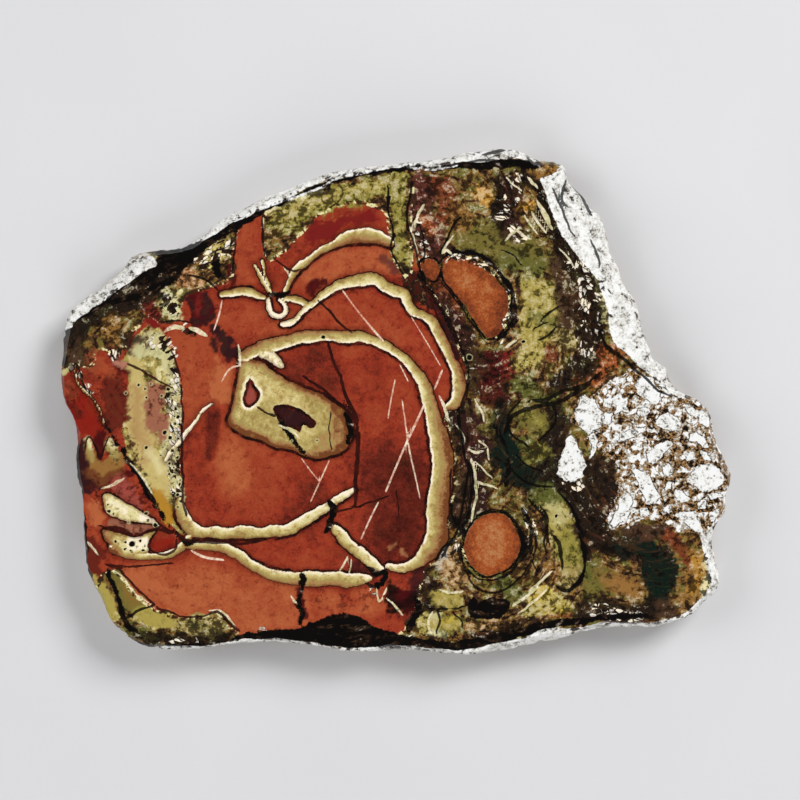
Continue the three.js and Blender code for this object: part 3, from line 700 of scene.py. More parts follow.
# How strongly the stone mottles, more or less than round about: change, fade and strokes.
ROUGHNESS = [
    (-.4, 5, [(430, 598, 8), (456, 600, 10)]), (-.4, 5, [(430, 620, 8), (454, 625, 12)]),
    (-.35, 8, [(504, 430, 14), (512, 465, 20), (540, 484, 14)]),
    (-.3, 8, [(626, 545, 12), (656, 562, 22), (656, 595, 14)]),
    (-.25, 8, [(556, 430, 12), (552, 465, 14)]), (-.2, 8, [(558, 270, 12), (562, 310, 14)]),
    (-.2, 8, [(586, 500, 24), (606, 540, 20)]),
    (-.3, 7, [(640, 532, 10), (690, 560, 20), (690, 590, 20)]), (.2, 7, [(198, 295, 14), (204, 308, 22)]),
    (-.5, 8, [(66, 338, 20), (90, 340, 20)]), (.5, 6, [(130, 340, 14), (160, 336, 12)]),
    (-.6, 6, [(438, 598, 10), (454, 601, 12), (446, 627, 16)]),
    (-.5, 6, [(520, 418, 14), (540, 424, 18)]), (.4, 7, [(600, 366, 24)]),
    (.4, 8, [(422, 182, 12), (420, 205, 14), (427, 232, 18), (430, 258, 18)]),
    (.9, 6, [(408, 276, 10), (420, 290, 22), (431, 301, 10)]), (.6, 8, [(446, 314, 16), (460, 340, 20)]),
    (.35, 9, [(560, 262, 16), (580, 285, 26), (588, 320, 34), (576, 355, 30)]),
    (-.4, 10, [(462, 238, 14), (490, 240, 26), (520, 252, 26), (545, 262, 14)]),
    (-.4, 10, [(530, 290, 16), (540, 310, 28), (534, 340, 20)]),
    (-.55, 8, [(545, 500, 14), (565, 530, 18), (572, 565, 16)]),
    (-.6, 9, [(590, 580, 20), (628, 585, 14)]),
    (-.4, 7, [(640, 548, 12), (660, 570, 22), (658, 595, 16)]),
    (-.8, 7, [(98, 584, 14), (106, 606, 14), (118, 582, 14), (134, 600, 14), (146, 614, 14),
     (168, 619, 12)]),
    (-.15, 8, [(290, 214, 16), (340, 194, 16), (395, 186, 12)]),
    (.3, 7, [(80, 400, 20), (110, 390, 30), (140, 520, 20), (90, 490, 20)]),
    (-.3, 7, [(400, 205, 12), (402, 250, 12)]), (.15, 8, [(325, 600, 12), (365, 600, 12)]),
    (.35, 6, [(158, 388, 12), (160, 410, 18)]),
    (.5, 5, [(172, 366, 8), (175, 402, 9), (173, 450, 10), (178, 490, 10)]),
    (.2, 10, [(590, 500, 30), (600, 530, 30)]), (.4, 6, [(246, 240, 14)]), (-.3, 7, [(548, 602, 14)]),
    (-.1, 6, [(136, 400, 14), (140, 430, 14), (156, 465, 12)]),
]

# Where the cream is older or younger than its band: change, fade and strokes.
AGES = [
    (-.18, 8, [(441, 470, 14), (439, 500, 14), (436, 525, 10)]),
    (.2, 6, [(306, 440, 8), (322, 446, 12), (332, 436, 10)]),
    (-.2, 6, [(246, 368, 8), (240, 392, 4), (234, 418, 6)]),
    (.5, 6, [(338, 410, 8), (342, 424, 12), (340, 442, 10)]), (.22, 8, [(234, 425, 8), (262, 443, 6)]),
    (-.2, 12, [(262, 378, 16), (290, 398, 14), (306, 440, 10)]), (.3, 7, [(103, 534, 6), (112, 548, 8)]),
    (-.3, 5, [(134, 541, 12), (146, 544, 8)]), (.25, 4, [(118, 512, 5)]),
    (-.2, 5, [(146, 516, 6), (155, 522, 5)]),
]

# Where pale flecks with dark edges are strewn: strength, fade and strokes.
FLECK_BRUSH = [
    (.7, 5, [(74, 368, 4), (80, 378, 5), (90, 392, 4)]), (.65, 5, [(112, 356, 5), (122, 352, 5)]),
    (.4, 5, [(445, 258, 4), (462, 254, 5), (490, 266, 5), (508, 288, 5), (513, 310, 5), (500, 338, 5)]),
    (.6, 6, [(525, 512, 4), (532, 530, 6), (526, 548, 5)]),
    (.6, 7, [(340, 640, 8), (375, 643, 6), (400, 643, 6)]),
    (.6, 8, [(572, 258, 10), (584, 276, 12), (590, 296, 14), (590, 325, 16), (586, 346, 10)]),
    (.7, 7, [(168, 262, 10), (182, 252, 10)]), (.9, 5, [(166, 296, 6), (170, 306, 6), (172, 314, 3)]),
    (.7, 7, [(200, 262, 8), (222, 250, 8), (232, 238, 6)]), (.7, 6, [(186, 328, 6), (192, 332, 4)]),
    (.7, 7, [(520, 178, 8), (506, 215, 8), (520, 236, 8)]),
    (.75, 7, [(152, 346, 6), (164, 342, 8), (170, 354, 8)]),
    (.8, 6, [(175, 372, 6), (172, 400, 6), (175, 430, 6), (174, 480, 6), (180, 505, 5)]),
    (.5, 7, [(418, 215, 3), (424, 250, 6)]), (.7, 6, [(456, 545, 4), (462, 560, 4)]),
    (.7, 7, [(580, 485, 6), (560, 486, 5)]), (.6, 7, [(620, 444, 5), (634, 455, 6)]),
    (.6, 8, [(265, 634, 6), (310, 640, 6), (362, 638, 6), (415, 645, 6)]),
    (.6, 8, [(600, 612, 8), (640, 616, 6)]), (.7, 6, [(196, 640, 6), (170, 645, 5)]),
    (.7, 6, [(375, 590, 5), (370, 580, 4)]), (.7, 6, [(472, 362, 5), (462, 346, 3)]),
    (.8, 7, [(700, 410, 8), (716, 430, 8), (722, 520, 6)]),
]


def srgb(colour):
    """A colour given as 0 to 255 in even light, as Blender's linear red, green, blue and alpha."""
    parts = [value / 255 for value in colour]
    return [((p + 0.055) / 1.055) ** 2.4 if p > 0.04 else p / 12.92 for p in parts] + [1]


# Fields of the markings

def on_slab(points):
    """Points in picture pixels as millimetres on the slab; widths, if given, become millimetres too."""
    points = np.asarray(points, float).copy()
    points[:, 0] = (points[:, 0] - MIDDLE_PX[0]) / PX_PER_MM
    points[:, 1] = (MIDDLE_PX[1] - points[:, 1]) / PX_PER_MM
    if points.shape[1] > 2:
        points[:, 2] /= PX_PER_MM
    return points


def smooth_way(points, closed=False):
    """A Catmull-Rom curve through points, with their other columns carried along."""
    count = len(points)
    if count < 3:
        return points
    if closed:
        before, start, end, after = (np.roll(points, shift, axis=0) for shift in (1, 0, -1, -2))
    else:
        start, end = points[:-1], points[1:]
        before = np.vstack((points[:1], points[:-2]))
        after = np.vstack((points[2:], points[-1:]))
    shares = np.arange(LINE_PARTS)[None, :, None] / LINE_PARTS
    a, b, c, d = (side[:, None, :] for side in (before, start, end, after))
    curve = 0.5 * (2 * b + (c - a) * shares + (2 * a - 5 * b + 4 * c - d) * shares ** 2
                   + (3 * b - a - 3 * c + d) * shares ** 3)
    curve = curve.reshape(-1, points.shape[1])
    return curve if closed else np.vstack((curve, points[-1:]))


def near(places, shape, reach):
    """Which places lie within reach of a shape's box."""
    low = shape[:, :2].min(0) - reach
    high = shape[:, :2].max(0) + reach
    return np.flatnonzero(np.all((places >= low) & (places <= high), axis=1))


def beside(places, way):
    """For each place: its distance from a way, its side (left is +1), and the way's other columns there."""
    gap = np.full(len(places), 1e3)
    side = np.ones(len(places))
    carried = np.zeros((len(places), way.shape[1] - 2))
    for start, end in zip(way[:-1], way[1:]):
        step = end[:2] - start[:2]
        from_start = places - start[:2]
        share = np.clip(from_start @ step / max(step @ step, 1e-9), 0, 1)
        away = from_start - share[:, None] * step
        distance = np.hypot(away[:, 0], away[:, 1])
        nearer = distance < gap
        gap[nearer] = distance[nearer]
        turn = step[0] * from_start[:, 1] - step[1] * from_start[:, 0]
        side[nearer] = np.where(turn[nearer] >= 0, 1, -1)
        carried[nearer] = start[2:] + share[nearer, None] * (end[2:] - start[2:])
    return gap, side, carried


def edge_of(places, outline):
    """Signed distance from a closed outline, negative inside it."""
    gap = np.full(len(places), 1e3)
    inside = np.zeros(len(places), bool)
    for start, end in zip(outline, np.roll(outline, -1, axis=0)):
        step = end - start
        from_start = places - start
        share = np.clip(from_start @ step / max(step @ step, 1e-9), 0, 1)
        away = from_start - share[:, None] * step
        gap = np.minimum(gap, np.hypot(away[:, 0], away[:, 1]))
        spans = (start[1] > places[:, 1]) != (end[1] > places[:, 1])
        if step[1]:
            crossing = start[0] + (places[:, 1] - start[1]) * step[0] / step[1]
            inside ^= spans & (places[:, 0] < crossing)
    return np.where(inside, -gap, gap)


def patches(places, outlines, smooth=True):
    """Signed distance from the nearest of several patches."""
    field = np.full(len(places), REACH)
    for outline in outlines:
        shape = on_slab(outline)
        if smooth:
            shape = smooth_way(shape, closed=True)
        found = near(places, shape, REACH)
        field[found] = np.minimum(field[found], edge_of(places[found], shape))
    return field


def streaks(places, ways):
    """Signed distance from the nearest of several streaks of changing width."""
    field = np.full(len(places), REACH)
    for points in ways:
        way = smooth_way(on_slab(points))
        found = near(places, way, REACH)
        gap, _, carried = beside(places[found], way)
        field[found] = np.minimum(field[found], gap - carried[:, 0] / 2)
    return field


def brush(places, strokes):
    """A soft strength: the strongest stroke wins, darker strokes and lighter ones kept apart."""
    raised = np.zeros(len(places))
    lowered = np.zeros(len(places))
    for strength, fade, points in strokes:
        way = on_slab(points)
        fade = fade / PX_PER_MM
        found = near(places, way, fade + way[:, 2].max())
        gap, _, carried = beside(places[found], way)
        share = np.clip(1 - (gap - carried[:, 0] / 2) / fade, 0, 1)
        painted = strength * share * share * (3 - 2 * share)
        raised[found] = np.maximum(raised[found], painted)
        lowered[found] = np.minimum(lowered[found], painted)
    return raised + lowered


def hairs(places, ways):
    """Thin lines, as a distance that changes sign across them and the half width that is left there."""
    across = np.full(len(places), REACH)
    left_over = np.full(len(places), -1.0)
    nearest = np.full(len(places), 1e3)
    for points in ways:
        way = smooth_way(on_slab(points))
        first = way[:1] + (way[:1] - way[1:2]) / np.linalg.norm(way[1, :2] - way[0, :2]) * HAIR_TAIL
        last = way[-1:] + (way[-1:] - way[-2:-1]) / np.linalg.norm(way[-1, :2] - way[-2, :2]) * HAIR_TAIL
        first[:, 2] = last[:, 2] = -HAIR_TAIL
        way = np.vstack((first, way, last))
        found = near(places, way, HAIR_REACH)
        gap, side, carried = beside(places[found], way)
        closer = gap < nearest[found]
        spot = found[closer]
        nearest[spot] = gap[closer]
        across[spot] = (gap * side)[closer]
        left_over[spot] = (carried[:, 0] / 2 - gap / 2 + HAIR_SOFT)[closer]
    return across, left_over


def cream_fields(places):
    """The cream bands and patches: edge, place across the band (+1 at the painted highlight), age and dark
    rim.
    """
    edge = np.full(len(places), REACH)
    across = np.zeros(len(places))
    age = np.full(len(places), 0.3)
    rim = np.full(len(places), 0.2)
    for band in CREAM_BANDS.values():
        way = smooth_way(on_slab(band["way"]))
        bright = 1 if band["bright"] == "left" else -1
        left_rim, right_rim = (width / PX_PER_MM for width in band["rims"])
        found = near(places, way, REACH)
        gap, side, carried = beside(places[found], way)
        distance = gap - carried[:, 0] / 2
        closer = distance < edge[found]
        spot = found[closer]
        edge[spot] = distance[closer]
        share = np.clip(gap / np.maximum(carried[:, 0] / 2, 0.1), 0, 1.2) * side
        across[spot] = (share * bright)[closer]
        age[spot] = carried[closer, 1]
        rim[spot] = np.where(side > 0, left_rim, right_rim)[closer]
    for patch_age, patch_rim, outline in CREAM_PATCHES.values():
        shape = smooth_way(on_slab(outline), closed=True)
        found = near(places, shape, REACH)
        distance = edge_of(places[found], shape)
        closer = distance < edge[found]
        spot = found[closer]
        edge[spot] = distance[closer]
        across[spot] = np.clip(-distance[closer] * 0.9 - 0.8, -0.8, 0.35)
        age[spot] = patch_age
        rim[spot] = patch_rim / PX_PER_MM
    eyes = patches(places, EGG_EYES.values())
    halo = patches(places, [EGG_EYES["teardrop"]]) < 0.5
    across[halo] = 0.9
    age += brush(places, AGES)
    return np.maximum(edge, -eyes), across, age, rim


def dots(places):
    """Signed distance from the nearest single dot."""
    field = np.full(len(places), REACH)
    for x, y, width in on_slab(DOTS):
        gap = np.hypot(places[:, 0] - x, places[:, 1] - y)
        field = np.minimum(field, gap - width / 2)
    return field


def sheets(places):
    """Distance from the nearest guide of the moss's sheets."""
    gaps = []
    for x, y, radius in on_slab(SHEET_GUIDES):
        gaps.append(np.abs(np.hypot(places[:, 0] - x, places[:, 1] - y) - radius))
    return np.min(gaps, axis=0)


def drifts(places):
    """Broad, close and fine meandering pushes for each place, as edges meander in stone."""
    noise.seed_set(DRIFT_SEED)
    pushes = np.zeros((3, len(places), 2))
    for number, (x, y) in enumerate(places):
        pushes[0, number] = noise.noise_vector(Vector((x, y, 5)) * 0.35).xy
        pushes[1, number] = noise.noise_vector(Vector((x, y, 9)) * 1.1).xy
        pushes[2, number] = noise.noise_vector(Vector((x, y, 4)) * 2.3).xy
    return pushes


def washes(places, pushes, coats):
    """Soft coats of colour over one another: linear red, green, blue, and how far they cover."""
    paint = np.zeros((len(places), 4))
    for colour, strength, fade, points in coats:
        way = on_slab(points)
        fade = fade / PX_PER_MM
        drifted = places + pushes * min(1, fade / FULL_DRIFT_FADE)
        found = near(drifted, way, fade + way[:, 2].max())
        gap, _, carried = beside(drifted[found], way)
        share = np.clip(1 - (gap - carried[:, 0] / 2) / fade, 0, 1)
        cover = (strength * share * share * (3 - 2 * share))[:, None]
        paint[found] += cover * (np.array(srgb(colour)) - paint[found])
    paint[:, :3] /= np.maximum(paint[:, 3:], 0.001)
    return paint


def marking_fields(places, outline):
    """Every field that the pattern reads, by its name, at places in millimetres on the slab."""
    pale_across, pale_width = hairs(places, PALE_HAIRS)
    pushes = drifts(places)
    edge = edge_of(places, outline)
    coats = washes(places, np.tensordot(WASH_DRIFT, pushes, 1), LEFT_WASHES + TOP_WASHES + RIGHT_WASHES)
    places = places + np.tensordot(SHAPE_DRIFT, pushes, 1)
    sliver_across, sliver_width = hairs(places, SLIVERS)
    bent = sliver_width - np.abs(sliver_across) > pale_width - np.abs(pale_across)
    cream, across, age, rim = cream_fields(places)
    dark_across, dark_width = hairs(places, DARK_HAIRS)
    moss = patches(places, MOSS_PATCHES.values())
    rind = patches(places, RIND_PATCHES.values()) - np.interp(edge, (-1.0, -0.3), (0, 0.45))
    rind = np.minimum(rind, streaks(places, RIND_STREAKS.values()))
    return {
        "cream": cream, "cream_across": across, "cream_age": age, "cream_rim": rim,
        "pale_across": np.where(bent, sliver_across, pale_across),
        "pale_width": np.where(bent, sliver_width, pale_width),
        "bent": bent.astype(float),
        "dark_across": dark_across, "dark_width": dark_width,
        "moss": moss,
        "khaki": patches(places, KHAKI_PATCHES.values()),
        "ember": patches(places, EMBER_PATCHES.values()),
        "rind": rind,
        "breccia": patches(places, [BRECCIA]),
        "shards": patches(places, SHARDS, smooth=False),
        "ink": streaks(places, INK_STREAKS.values()),
        "dots": dots(places),
        "sheets": sheets(places),
        "glow": brush(places, GLOW),
        "rough": np.interp(moss, (-0.5, 0.4), (1.05, 0.26)) + brush(places, ROUGHNESS),
        "fleck": brush(places, FLECK_BRUSH),
        "outline": edge,
        "wash": coats,
    }


# The slab's mesh

def walk_loop(edges):
    """The vertices of a closed loop of edges, in order."""
    first = edges[0]
    loop = [first.verts[0], first.verts[1]]
    members = set(edges)
    edge = first
    while loop[-1] is not loop[0]:
        edge = next(e for e in loop[-1].link_edges if e in members and e is not edge)
        loop.append(edge.other_vert(loop[-1]))
    return loop[:-1]


def wear_skin(bm):
    """Turns the solid's bare sides into knobbly natural skin. The flat faces are taken off first."""
    flat = [face for face in bm.faces if abs(face.normal.z) > 0.9999
            and min(abs(face.calc_center_median().z - level) for level in (BACK, POLISH)) < 0.01 * MM]
    bmesh.ops.delete(bm, geom=flat, context="FACES")
    bmesh.ops.subdivide_edges(bm, edges=bm.edges[:], cuts=SKIN_CUTS, use_grid_fill=True)
    loose = [vert for vert in bm.verts if not vert.is_boundary]
    for _ in range(3):
        bmesh.ops.smooth_vert(bm, verts=loose, factor=0.5, use_axis_x=True, use_axis_y=True,
                              use_axis_z=True)
    bm.normal_update()
    moves = []
    for vert in bm.verts:
        place = vert.co / MM
        lumps = noise.fractal(place * 0.35, 0.9, 2.1, 3)
        grit = noise.fractal(place * 1.7 + Vector((9, 4, 2)), 0.7, 2.2, 3)
        pits = max(0, noise.noise(place * 0.8 + Vector((3, 7, 5))) - 0.25)
        depth = SKIN_LUMPS * (lumps + 0.6) + SKIN_GRIT * (grit + 0.5) + SKIN_PITS * pits
        if vert.is_boundary:
            outwards = Vector((vert.normal.x, vert.normal.y, 0))
            moves.append((vert, -outwards * RIM_SHARE * max(0, depth) * MM))
        else:
            moves.append((vert, -vert.normal * max(0, depth) * MM))
    for vert, move in moves:
        vert.co += move


def close_with_grid(bm, rim, cell, level):
    """Closes a flat rim with a grid of cells and a strip of triangles round it. Returns the new faces."""
    loop = np.array([vert.co.xy for vert in walk_loop(rim)]) / MM
    middle = (LOW + HIGH) / 2
    middle.z = level
    across = HIGH.x - LOW.x
    up = HIGH.y - LOW.y
    old = set(bm.faces)
    made = bmesh.ops.create_grid(
        bm, x_segments=round(across / cell), y_segments=round(up / cell), size=0.5,
        matrix=Matrix.Translation(middle) @ Matrix.Diagonal((across, up, 1, 1)))
    grid = list({face for vert in made["verts"] for face in vert.link_faces})
    centres = np.array([face.calc_center_median().xy for face in grid]) / MM
    outside = edge_of(centres, loop) > -(STRIP + 0.5) * cell / MM
    bmesh.ops.delete(bm, geom=[face for face, out in zip(grid, outside) if out], context="FACES")
    inner = [edge for edge in bm.edges if edge.is_boundary and not (set(edge.link_faces) & old)]
    bmesh.ops.triangle_fill(bm, use_beauty=True, edges=rim + inner, normal=(0, 0, 1))
    return [face for face in bm.faces if face not in old]


def build_slab():
    """The whole slab as one closed mesh, with its fields as attributes and a finish on each face."""
    bm = bmesh.new()
    bm.from_mesh(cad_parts[NODE].data)
    bmesh.ops.remove_doubles(bm, verts=bm.verts, dist=0.001 * MM)
    wear_skin(bm)
    skin = bm.faces[:]
    rims = [edge for edge in bm.edges if edge.is_boundary]
    top_rim = [edge for edge in rims if edge.verts[0].co.z > (BACK + POLISH) / 2]
    back_rim = [edge for edge in rims if edge.verts[0].co.z < (BACK + POLISH) / 2]
    outline = np.array([vert.co.xy for vert in walk_loop(top_rim)]) / MM
    polish = close_with_grid(bm, top_rim, POLISH_CELL, POLISH)
    back = close_with_grid(bm, back_rim, BACK_CELL, BACK)
    bmesh.ops.recalc_face_normals(bm, faces=bm.faces[:])
    for slot, faces in enumerate((polish, back, skin)):
        for face in faces:
            face.material_index = slot
            face.smooth = True
    for edge in top_rim + back_rim:
        edge.smooth = False
    mesh = bpy.data.meshes.new("jasper")
    bm.to_mesh(mesh)
    bm.free()
    add_fields(mesh, outline)
    sink_chalk(mesh)
    slab = bpy.data.objects.new("jasper", mesh)
    bpy.context.scene.collection.objects.link(slab)
    return slab


def add_fields(mesh, outline):
    """Writes the marking fields at every point. The pattern leans as it goes down into the stone."""
    points = np.zeros(len(mesh.vertices) * 3)
    mesh.vertices.foreach_get("co", points)
    points = points.reshape(-1, 3) / MM
    depth = POLISH / MM - points[:, 2:]
    fields = marking_fields(points[:, :2] + depth * np.array(LEAN), outline)
    fields["depth"] = depth[:, 0]
    for name, values in fields.items():
        kind, part = ("FLOAT", "value") if values.ndim == 1 else ("FLOAT_COLOR", "color")
        layer = mesh.attributes.new(name, kind, "POINT")
        layer.data.foreach_set(part, values.astype(np.float32).ravel())


def sink_chalk(mesh):
    """The chalky rind takes no polish: where it shows on the front it lies a little low and rough."""
    rind = np.zeros(len(mesh.vertices), np.float32)
    mesh.attributes["rind"].data.foreach_get("value", rind)
    for vert, edge in zip(mesh.vertices, rind):
        if edge < 0 and vert.co.z > POLISH - 0.001 * MM:
            share = min(1, -edge / CHALK_SLOPE)
            place = vert.co / MM
            rough = 0.5 + 0.5 * noise.fractal(place * 1.3, 0.8, 2.1, 3)
            vert.co.z -= share * (CHALK_DROP + CHALK_ROUGHNESS * max(0, rough)) * MM


# Nodes

class Weave:
    """Adds nodes to a tree and links them."""

    def __init__(self, tree):
        self.tree = tree

    def new(self, kind, **settings):
        node = self.tree.nodes.new("ShaderNode" + kind)
        for name, value in settings.items():
            setattr(node, name, value)
        return node

    def feed(self, socket, value):
        if isinstance(value, bpy.types.NodeSocket):
            self.tree.links.new(value, socket)
        elif value is not None:
            socket.default_value = value

    def math(self, operation, *values):
        node = self.new("Math", operation=operation)
        for socket, value in zip(node.inputs, values):
            self.feed(socket, value)
        return node.outputs[0]

    def mix(self, amount, under, over, blend="MIX"):
        node = self.new("Mix", data_type="RGBA", blend_type=blend)
        self.feed(node.inputs[0], amount)
        self.feed(node.inputs[6], srgb(under) if isinstance(under, tuple) else under)
        self.feed(node.inputs[7], srgb(over) if isinstance(over, tuple) else over)
        return node.outputs[2]

    def spread(self, value, start, end, low=0, high=1):
        """Smoothly from low to high as value goes from start to end."""
        node = self.new("MapRange", interpolation_type="SMOOTHSTEP")
        for socket, part in zip(node.inputs, (value, start, end, low, high)):
            self.feed(socket, part)
        return node.outputs[0]

    def within(self, edge, soft=0.05, shift=0):
        """1 inside an edge field and 0 outside, softly."""
        return self.spread(edge, shift + soft, shift - soft)

    def plus(self, value, other, share=1.0):
        """value with a share of other added."""
        return self.math("MULTIPLY_ADD", other, share, value)

    def blend(self, first, second, share):
        """Between two values: first at 0, second at 1."""
        node = self.new("Mix", data_type="FLOAT")
        for socket, part in zip(node.inputs, (share, None, first, second)):
            self.feed(socket, part)
        return node.outputs[0]

    def even(self, value):
        """Noise spread out so that it fills 0 to 1."""
        return self.spread(value, 0.3, 0.7)

    def field(self, name):
        return self.new("Attribute", attribute_name=name).outputs["Fac"]

    def noise(self, place, per_mm, detail=2.0, rough=0.5, twist=0.0):
        node = self.new("TexNoise")
        self.feed(node.inputs["Vector"], place)
        node.inputs["Scale"].default_value = per_mm
        node.inputs["Detail"].default_value = detail
        node.inputs["Roughness"].default_value = rough
        node.inputs["Distortion"].default_value = twist
        return node.outputs["Fac"]

    def cells(self, place, per_mm, feature, output):
        node = self.new("TexVoronoi", feature=feature)
        self.feed(node.inputs["Vector"], place)
        node.inputs["Scale"].default_value = per_mm
        return node.outputs[output]

    def ramp(self, value, *stops):
        """Colours at places along a value, blended between them."""
        node = self.new("ValToRGB")
        marks = node.color_ramp.elements
        for _ in stops[2:]:
            marks.new(1)
        for number, (place, colour) in enumerate(stops):
            marks[number].position = place
            marks[number].color = srgb(colour)
        self.feed(node.inputs[0], value)
        return node.outputs["Color"]

    def millimetres(self):
        """The piece's own place in millimetres."""
        place = self.new("TexCoord").outputs["Object"]
        node = self.new("VectorMath", operation="SCALE")
        self.feed(node.inputs[0], place)
        node.inputs["Scale"].default_value = 1 / MM
        return node.outputs[0]

    def moved(self, place, x, y, z):
        """A place moved far off, so that noise on it is another noise."""
        node = self.new("VectorMath", operation="ADD")
        self.feed(node.inputs[0], place)
        node.inputs[1].default_value = (x, y, z)
        return node.outputs[0]

    def along_sheets(self, place, long):
        """A place on which noise runs in streaks along the moss's sheets."""
        parts = self.new("SeparateXYZ")
        self.feed(parts.inputs[0], place)
        node = self.new("CombineXYZ")
        self.feed(node.inputs[0], self.field("sheets"))
        self.feed(node.inputs[1], self.math("MULTIPLY", parts.outputs[0], long))
        self.feed(node.inputs[2], self.math("MULTIPLY", parts.outputs[1], long))
        return node.outputs[0]

    def off(self, value):
        """How far a 0 to 1 value is from its middle."""
        return self.math("SUBTRACT", value, 0.5)

    def painted(self, name, texture):
        """Where a soft strength shows, broken up by a texture."""
        return self.spread(self.plus(self.field(name), self.off(texture), 0.76), 0.4, 0.46)


def jasper_pattern():
    """Node group: the stone's colour, and masks of its rind and its breccia."""
    tree = bpy.data.node_groups.new("jasper pattern", "ShaderNodeTree")
    for name, kind in (("Color", "NodeSocketColor"), ("Rind", "NodeSocketFloat"),
                       ("Breccia", "NodeSocketFloat")):
        tree.interface.new_socket(name, in_out="OUTPUT", socket_type=kind)
    w = Weave(tree)
    place = w.millimetres()
    clouds = w.even(w.noise(place, 0.42, 5, 0.62, 0.5))
    crumbs = w.even(w.noise(w.moved(place, 31, 7, 3), 0.95, 3, 0.6, 0.4))
    sheeted = w.even(w.noise(w.along_sheets(place, 0.2), 1.1, 4, 0.6, 0.4))
    broad = w.even(w.noise(w.moved(place, 5, 60, 9), 0.11, 4, 0.55, 0.8))
    ragged = w.noise(w.moved(place, 11, 13, 2), 1.6, 3, 0.65)
    grain = w.even(w.noise(place, 3.1, 1, 0.5))
    wobble = w.math("MULTIPLY", w.off(ragged), 0.5)
    mottle = w.spread(w.blend(w.blend(clouds, sheeted, 0.5), crumbs, 0.5), 0.14, 0.86)
    mottle = w.plus(mottle, w.off(grain), 0.16)
    bend = w.noise(w.moved(place, 70, 20, 8), 0.45, 3, 0.6, 1.6)
    wisps = w.spread(w.math("ABSOLUTE", w.off(bend)), 0.026, 0.006)

    # Red ground, from scab through brick to tan
    glow = w.math("MULTIPLY_ADD", w.field("glow"), 0.5, 0.5)
    glow = w.plus(w.plus(glow, w.off(broad), 0.16), w.off(clouds), 0.17)
    glow = w.plus(w.plus(glow, w.off(crumbs), 0.1), w.off(grain), 0.1)
    glow = w.plus(glow, wisps, -0.1)
    red = w.ramp(glow, (0, SCAB), (0.25, BLOOD), (0.5, BRICK), (0.74, FLAME), (1, TAN_RED))

    # Moss, and the khaki tongue and leaf
    moss = w.blend(clouds, sheeted, 0.5)
    moss = w.ramp(moss, (0, UMBER), (0.3, BARK), (0.48, HONEY), (0.62, OLIVE), (0.8, FERN), (1, PEA))
    moss_edge = w.plus(w.plus(w.field("moss"), wobble), w.off(clouds), 0.5)
    moss_mask = w.within(moss_edge, 0.08)
    colour = w.mix(moss_mask, red, moss)
    khaki = w.ramp(mottle, (0, LEAF), (0.4, KHAKI), (0.7, HAY), (1, CREAM))
    khaki_edge = w.plus(w.plus(w.field("khaki"), wobble), w.off(clouds), 0.4)
    colour = w.mix(w.within(khaki_edge, 0.14), colour, khaki)

    # Washes of colour, and then the mottling, dark and light
    coats = w.new("Attribute", attribute_name="wash")
    ragged_edge = w.math("MULTIPLY", w.off(w.blend(crumbs, sheeted, 0.5)), w.field("rough"))
    cover = w.plus(coats.outputs["Alpha"], ragged_edge, 0.9)
    cover = w.math("MULTIPLY", w.spread(cover, 0.14, 0.86), w.spread(coats.outputs["Alpha"], 0, 0.2))
    colour = w.mix(cover, colour, coats.outputs["Color"])
    tint = w.mix(broad, LEAF, CHESTNUT)
    colour = w.mix(w.math("MULTIPLY", w.spread(sheeted, 0.55, 0.9, 0, 0.3), w.field("rough")), colour, tint)
    value = w.math("MULTIPLY_ADD", w.off(mottle), w.math("MULTIPLY", w.field("rough"), 1.2), 0.5)
    value = w.plus(value, w.math("MULTIPLY", w.plus(wisps, 0.3), w.field("rough")), -0.3)
    dark = w.mix(w.spread(mottle, 0.1, 0.4), INK, UMBER)
    dark = w.mix(moss_mask, w.mix(crumbs, SCAB, BLOOD), dark)
    colour = w.mix(w.spread(value, 0.08, 0.42), w.mix(0.82, colour, dark), colour)
    light = w.mix(0.37, colour, w.mix(moss_mask, APRICOT, w.mix(grain, CREAM, BONE)))
    brightness = w.new("RGBToBW")
    w.feed(brightness.inputs[0], colour)
    value = w.plus(value, w.math("MINIMUM", w.math("SUBTRACT", brightness.outputs[0], 0.12), 0.07), 1.4)
    colour = w.mix(w.spread(value, 0.66, 1.0), colour, light)
    fringe = w.within(w.math("ABSOLUTE", moss_edge), 0.1, 0.25)
    colour = w.mix(w.math("MULTIPLY", fringe, w.spread(crumbs, 0.5, 0.35)), colour, UMBER)
    colour = w.mix(w.math("MULTIPLY", fringe, w.spread(crumbs, 0.66, 0.76)), colour, CREAM)

    # Ember orbs, with a dark rim and a lace of pale beads
    ember_edge = w.plus(w.field("ember"), wobble, 0.8)
    ember = w.plus(w.spread(ember_edge, -2.6, 0, 0.6, 0.34), w.off(mottle), 0.24)
    ember = w.plus(ember, w.field("glow"), 0.35)
    ember = w.plus(ember, w.off(grain), 0.16)
    ember = w.ramp(ember, (0, SCAB), (0.3, CHESTNUT), (0.56, EMBER), (0.95, APRICOT))
    colour = w.mix(w.within(ember_edge, 0.1), colour, ember)
    lace = w.within(w.math("ABSOLUTE", w.math("SUBTRACT", ember_edge, 0.25)), 0.08, 0.2)
    colour = w.mix(w.math("MULTIPLY", lace, w.spread(crumbs, 0.2, 0.3)), colour, INK)
    beads = w.math("MULTIPLY", w.spread(crumbs, 0.68, 0.76), w.spread(w.field("fleck"), 0.1, 0.3))
    colour = w.mix(w.math("MULTIPLY", lace, beads), colour, CREAM)

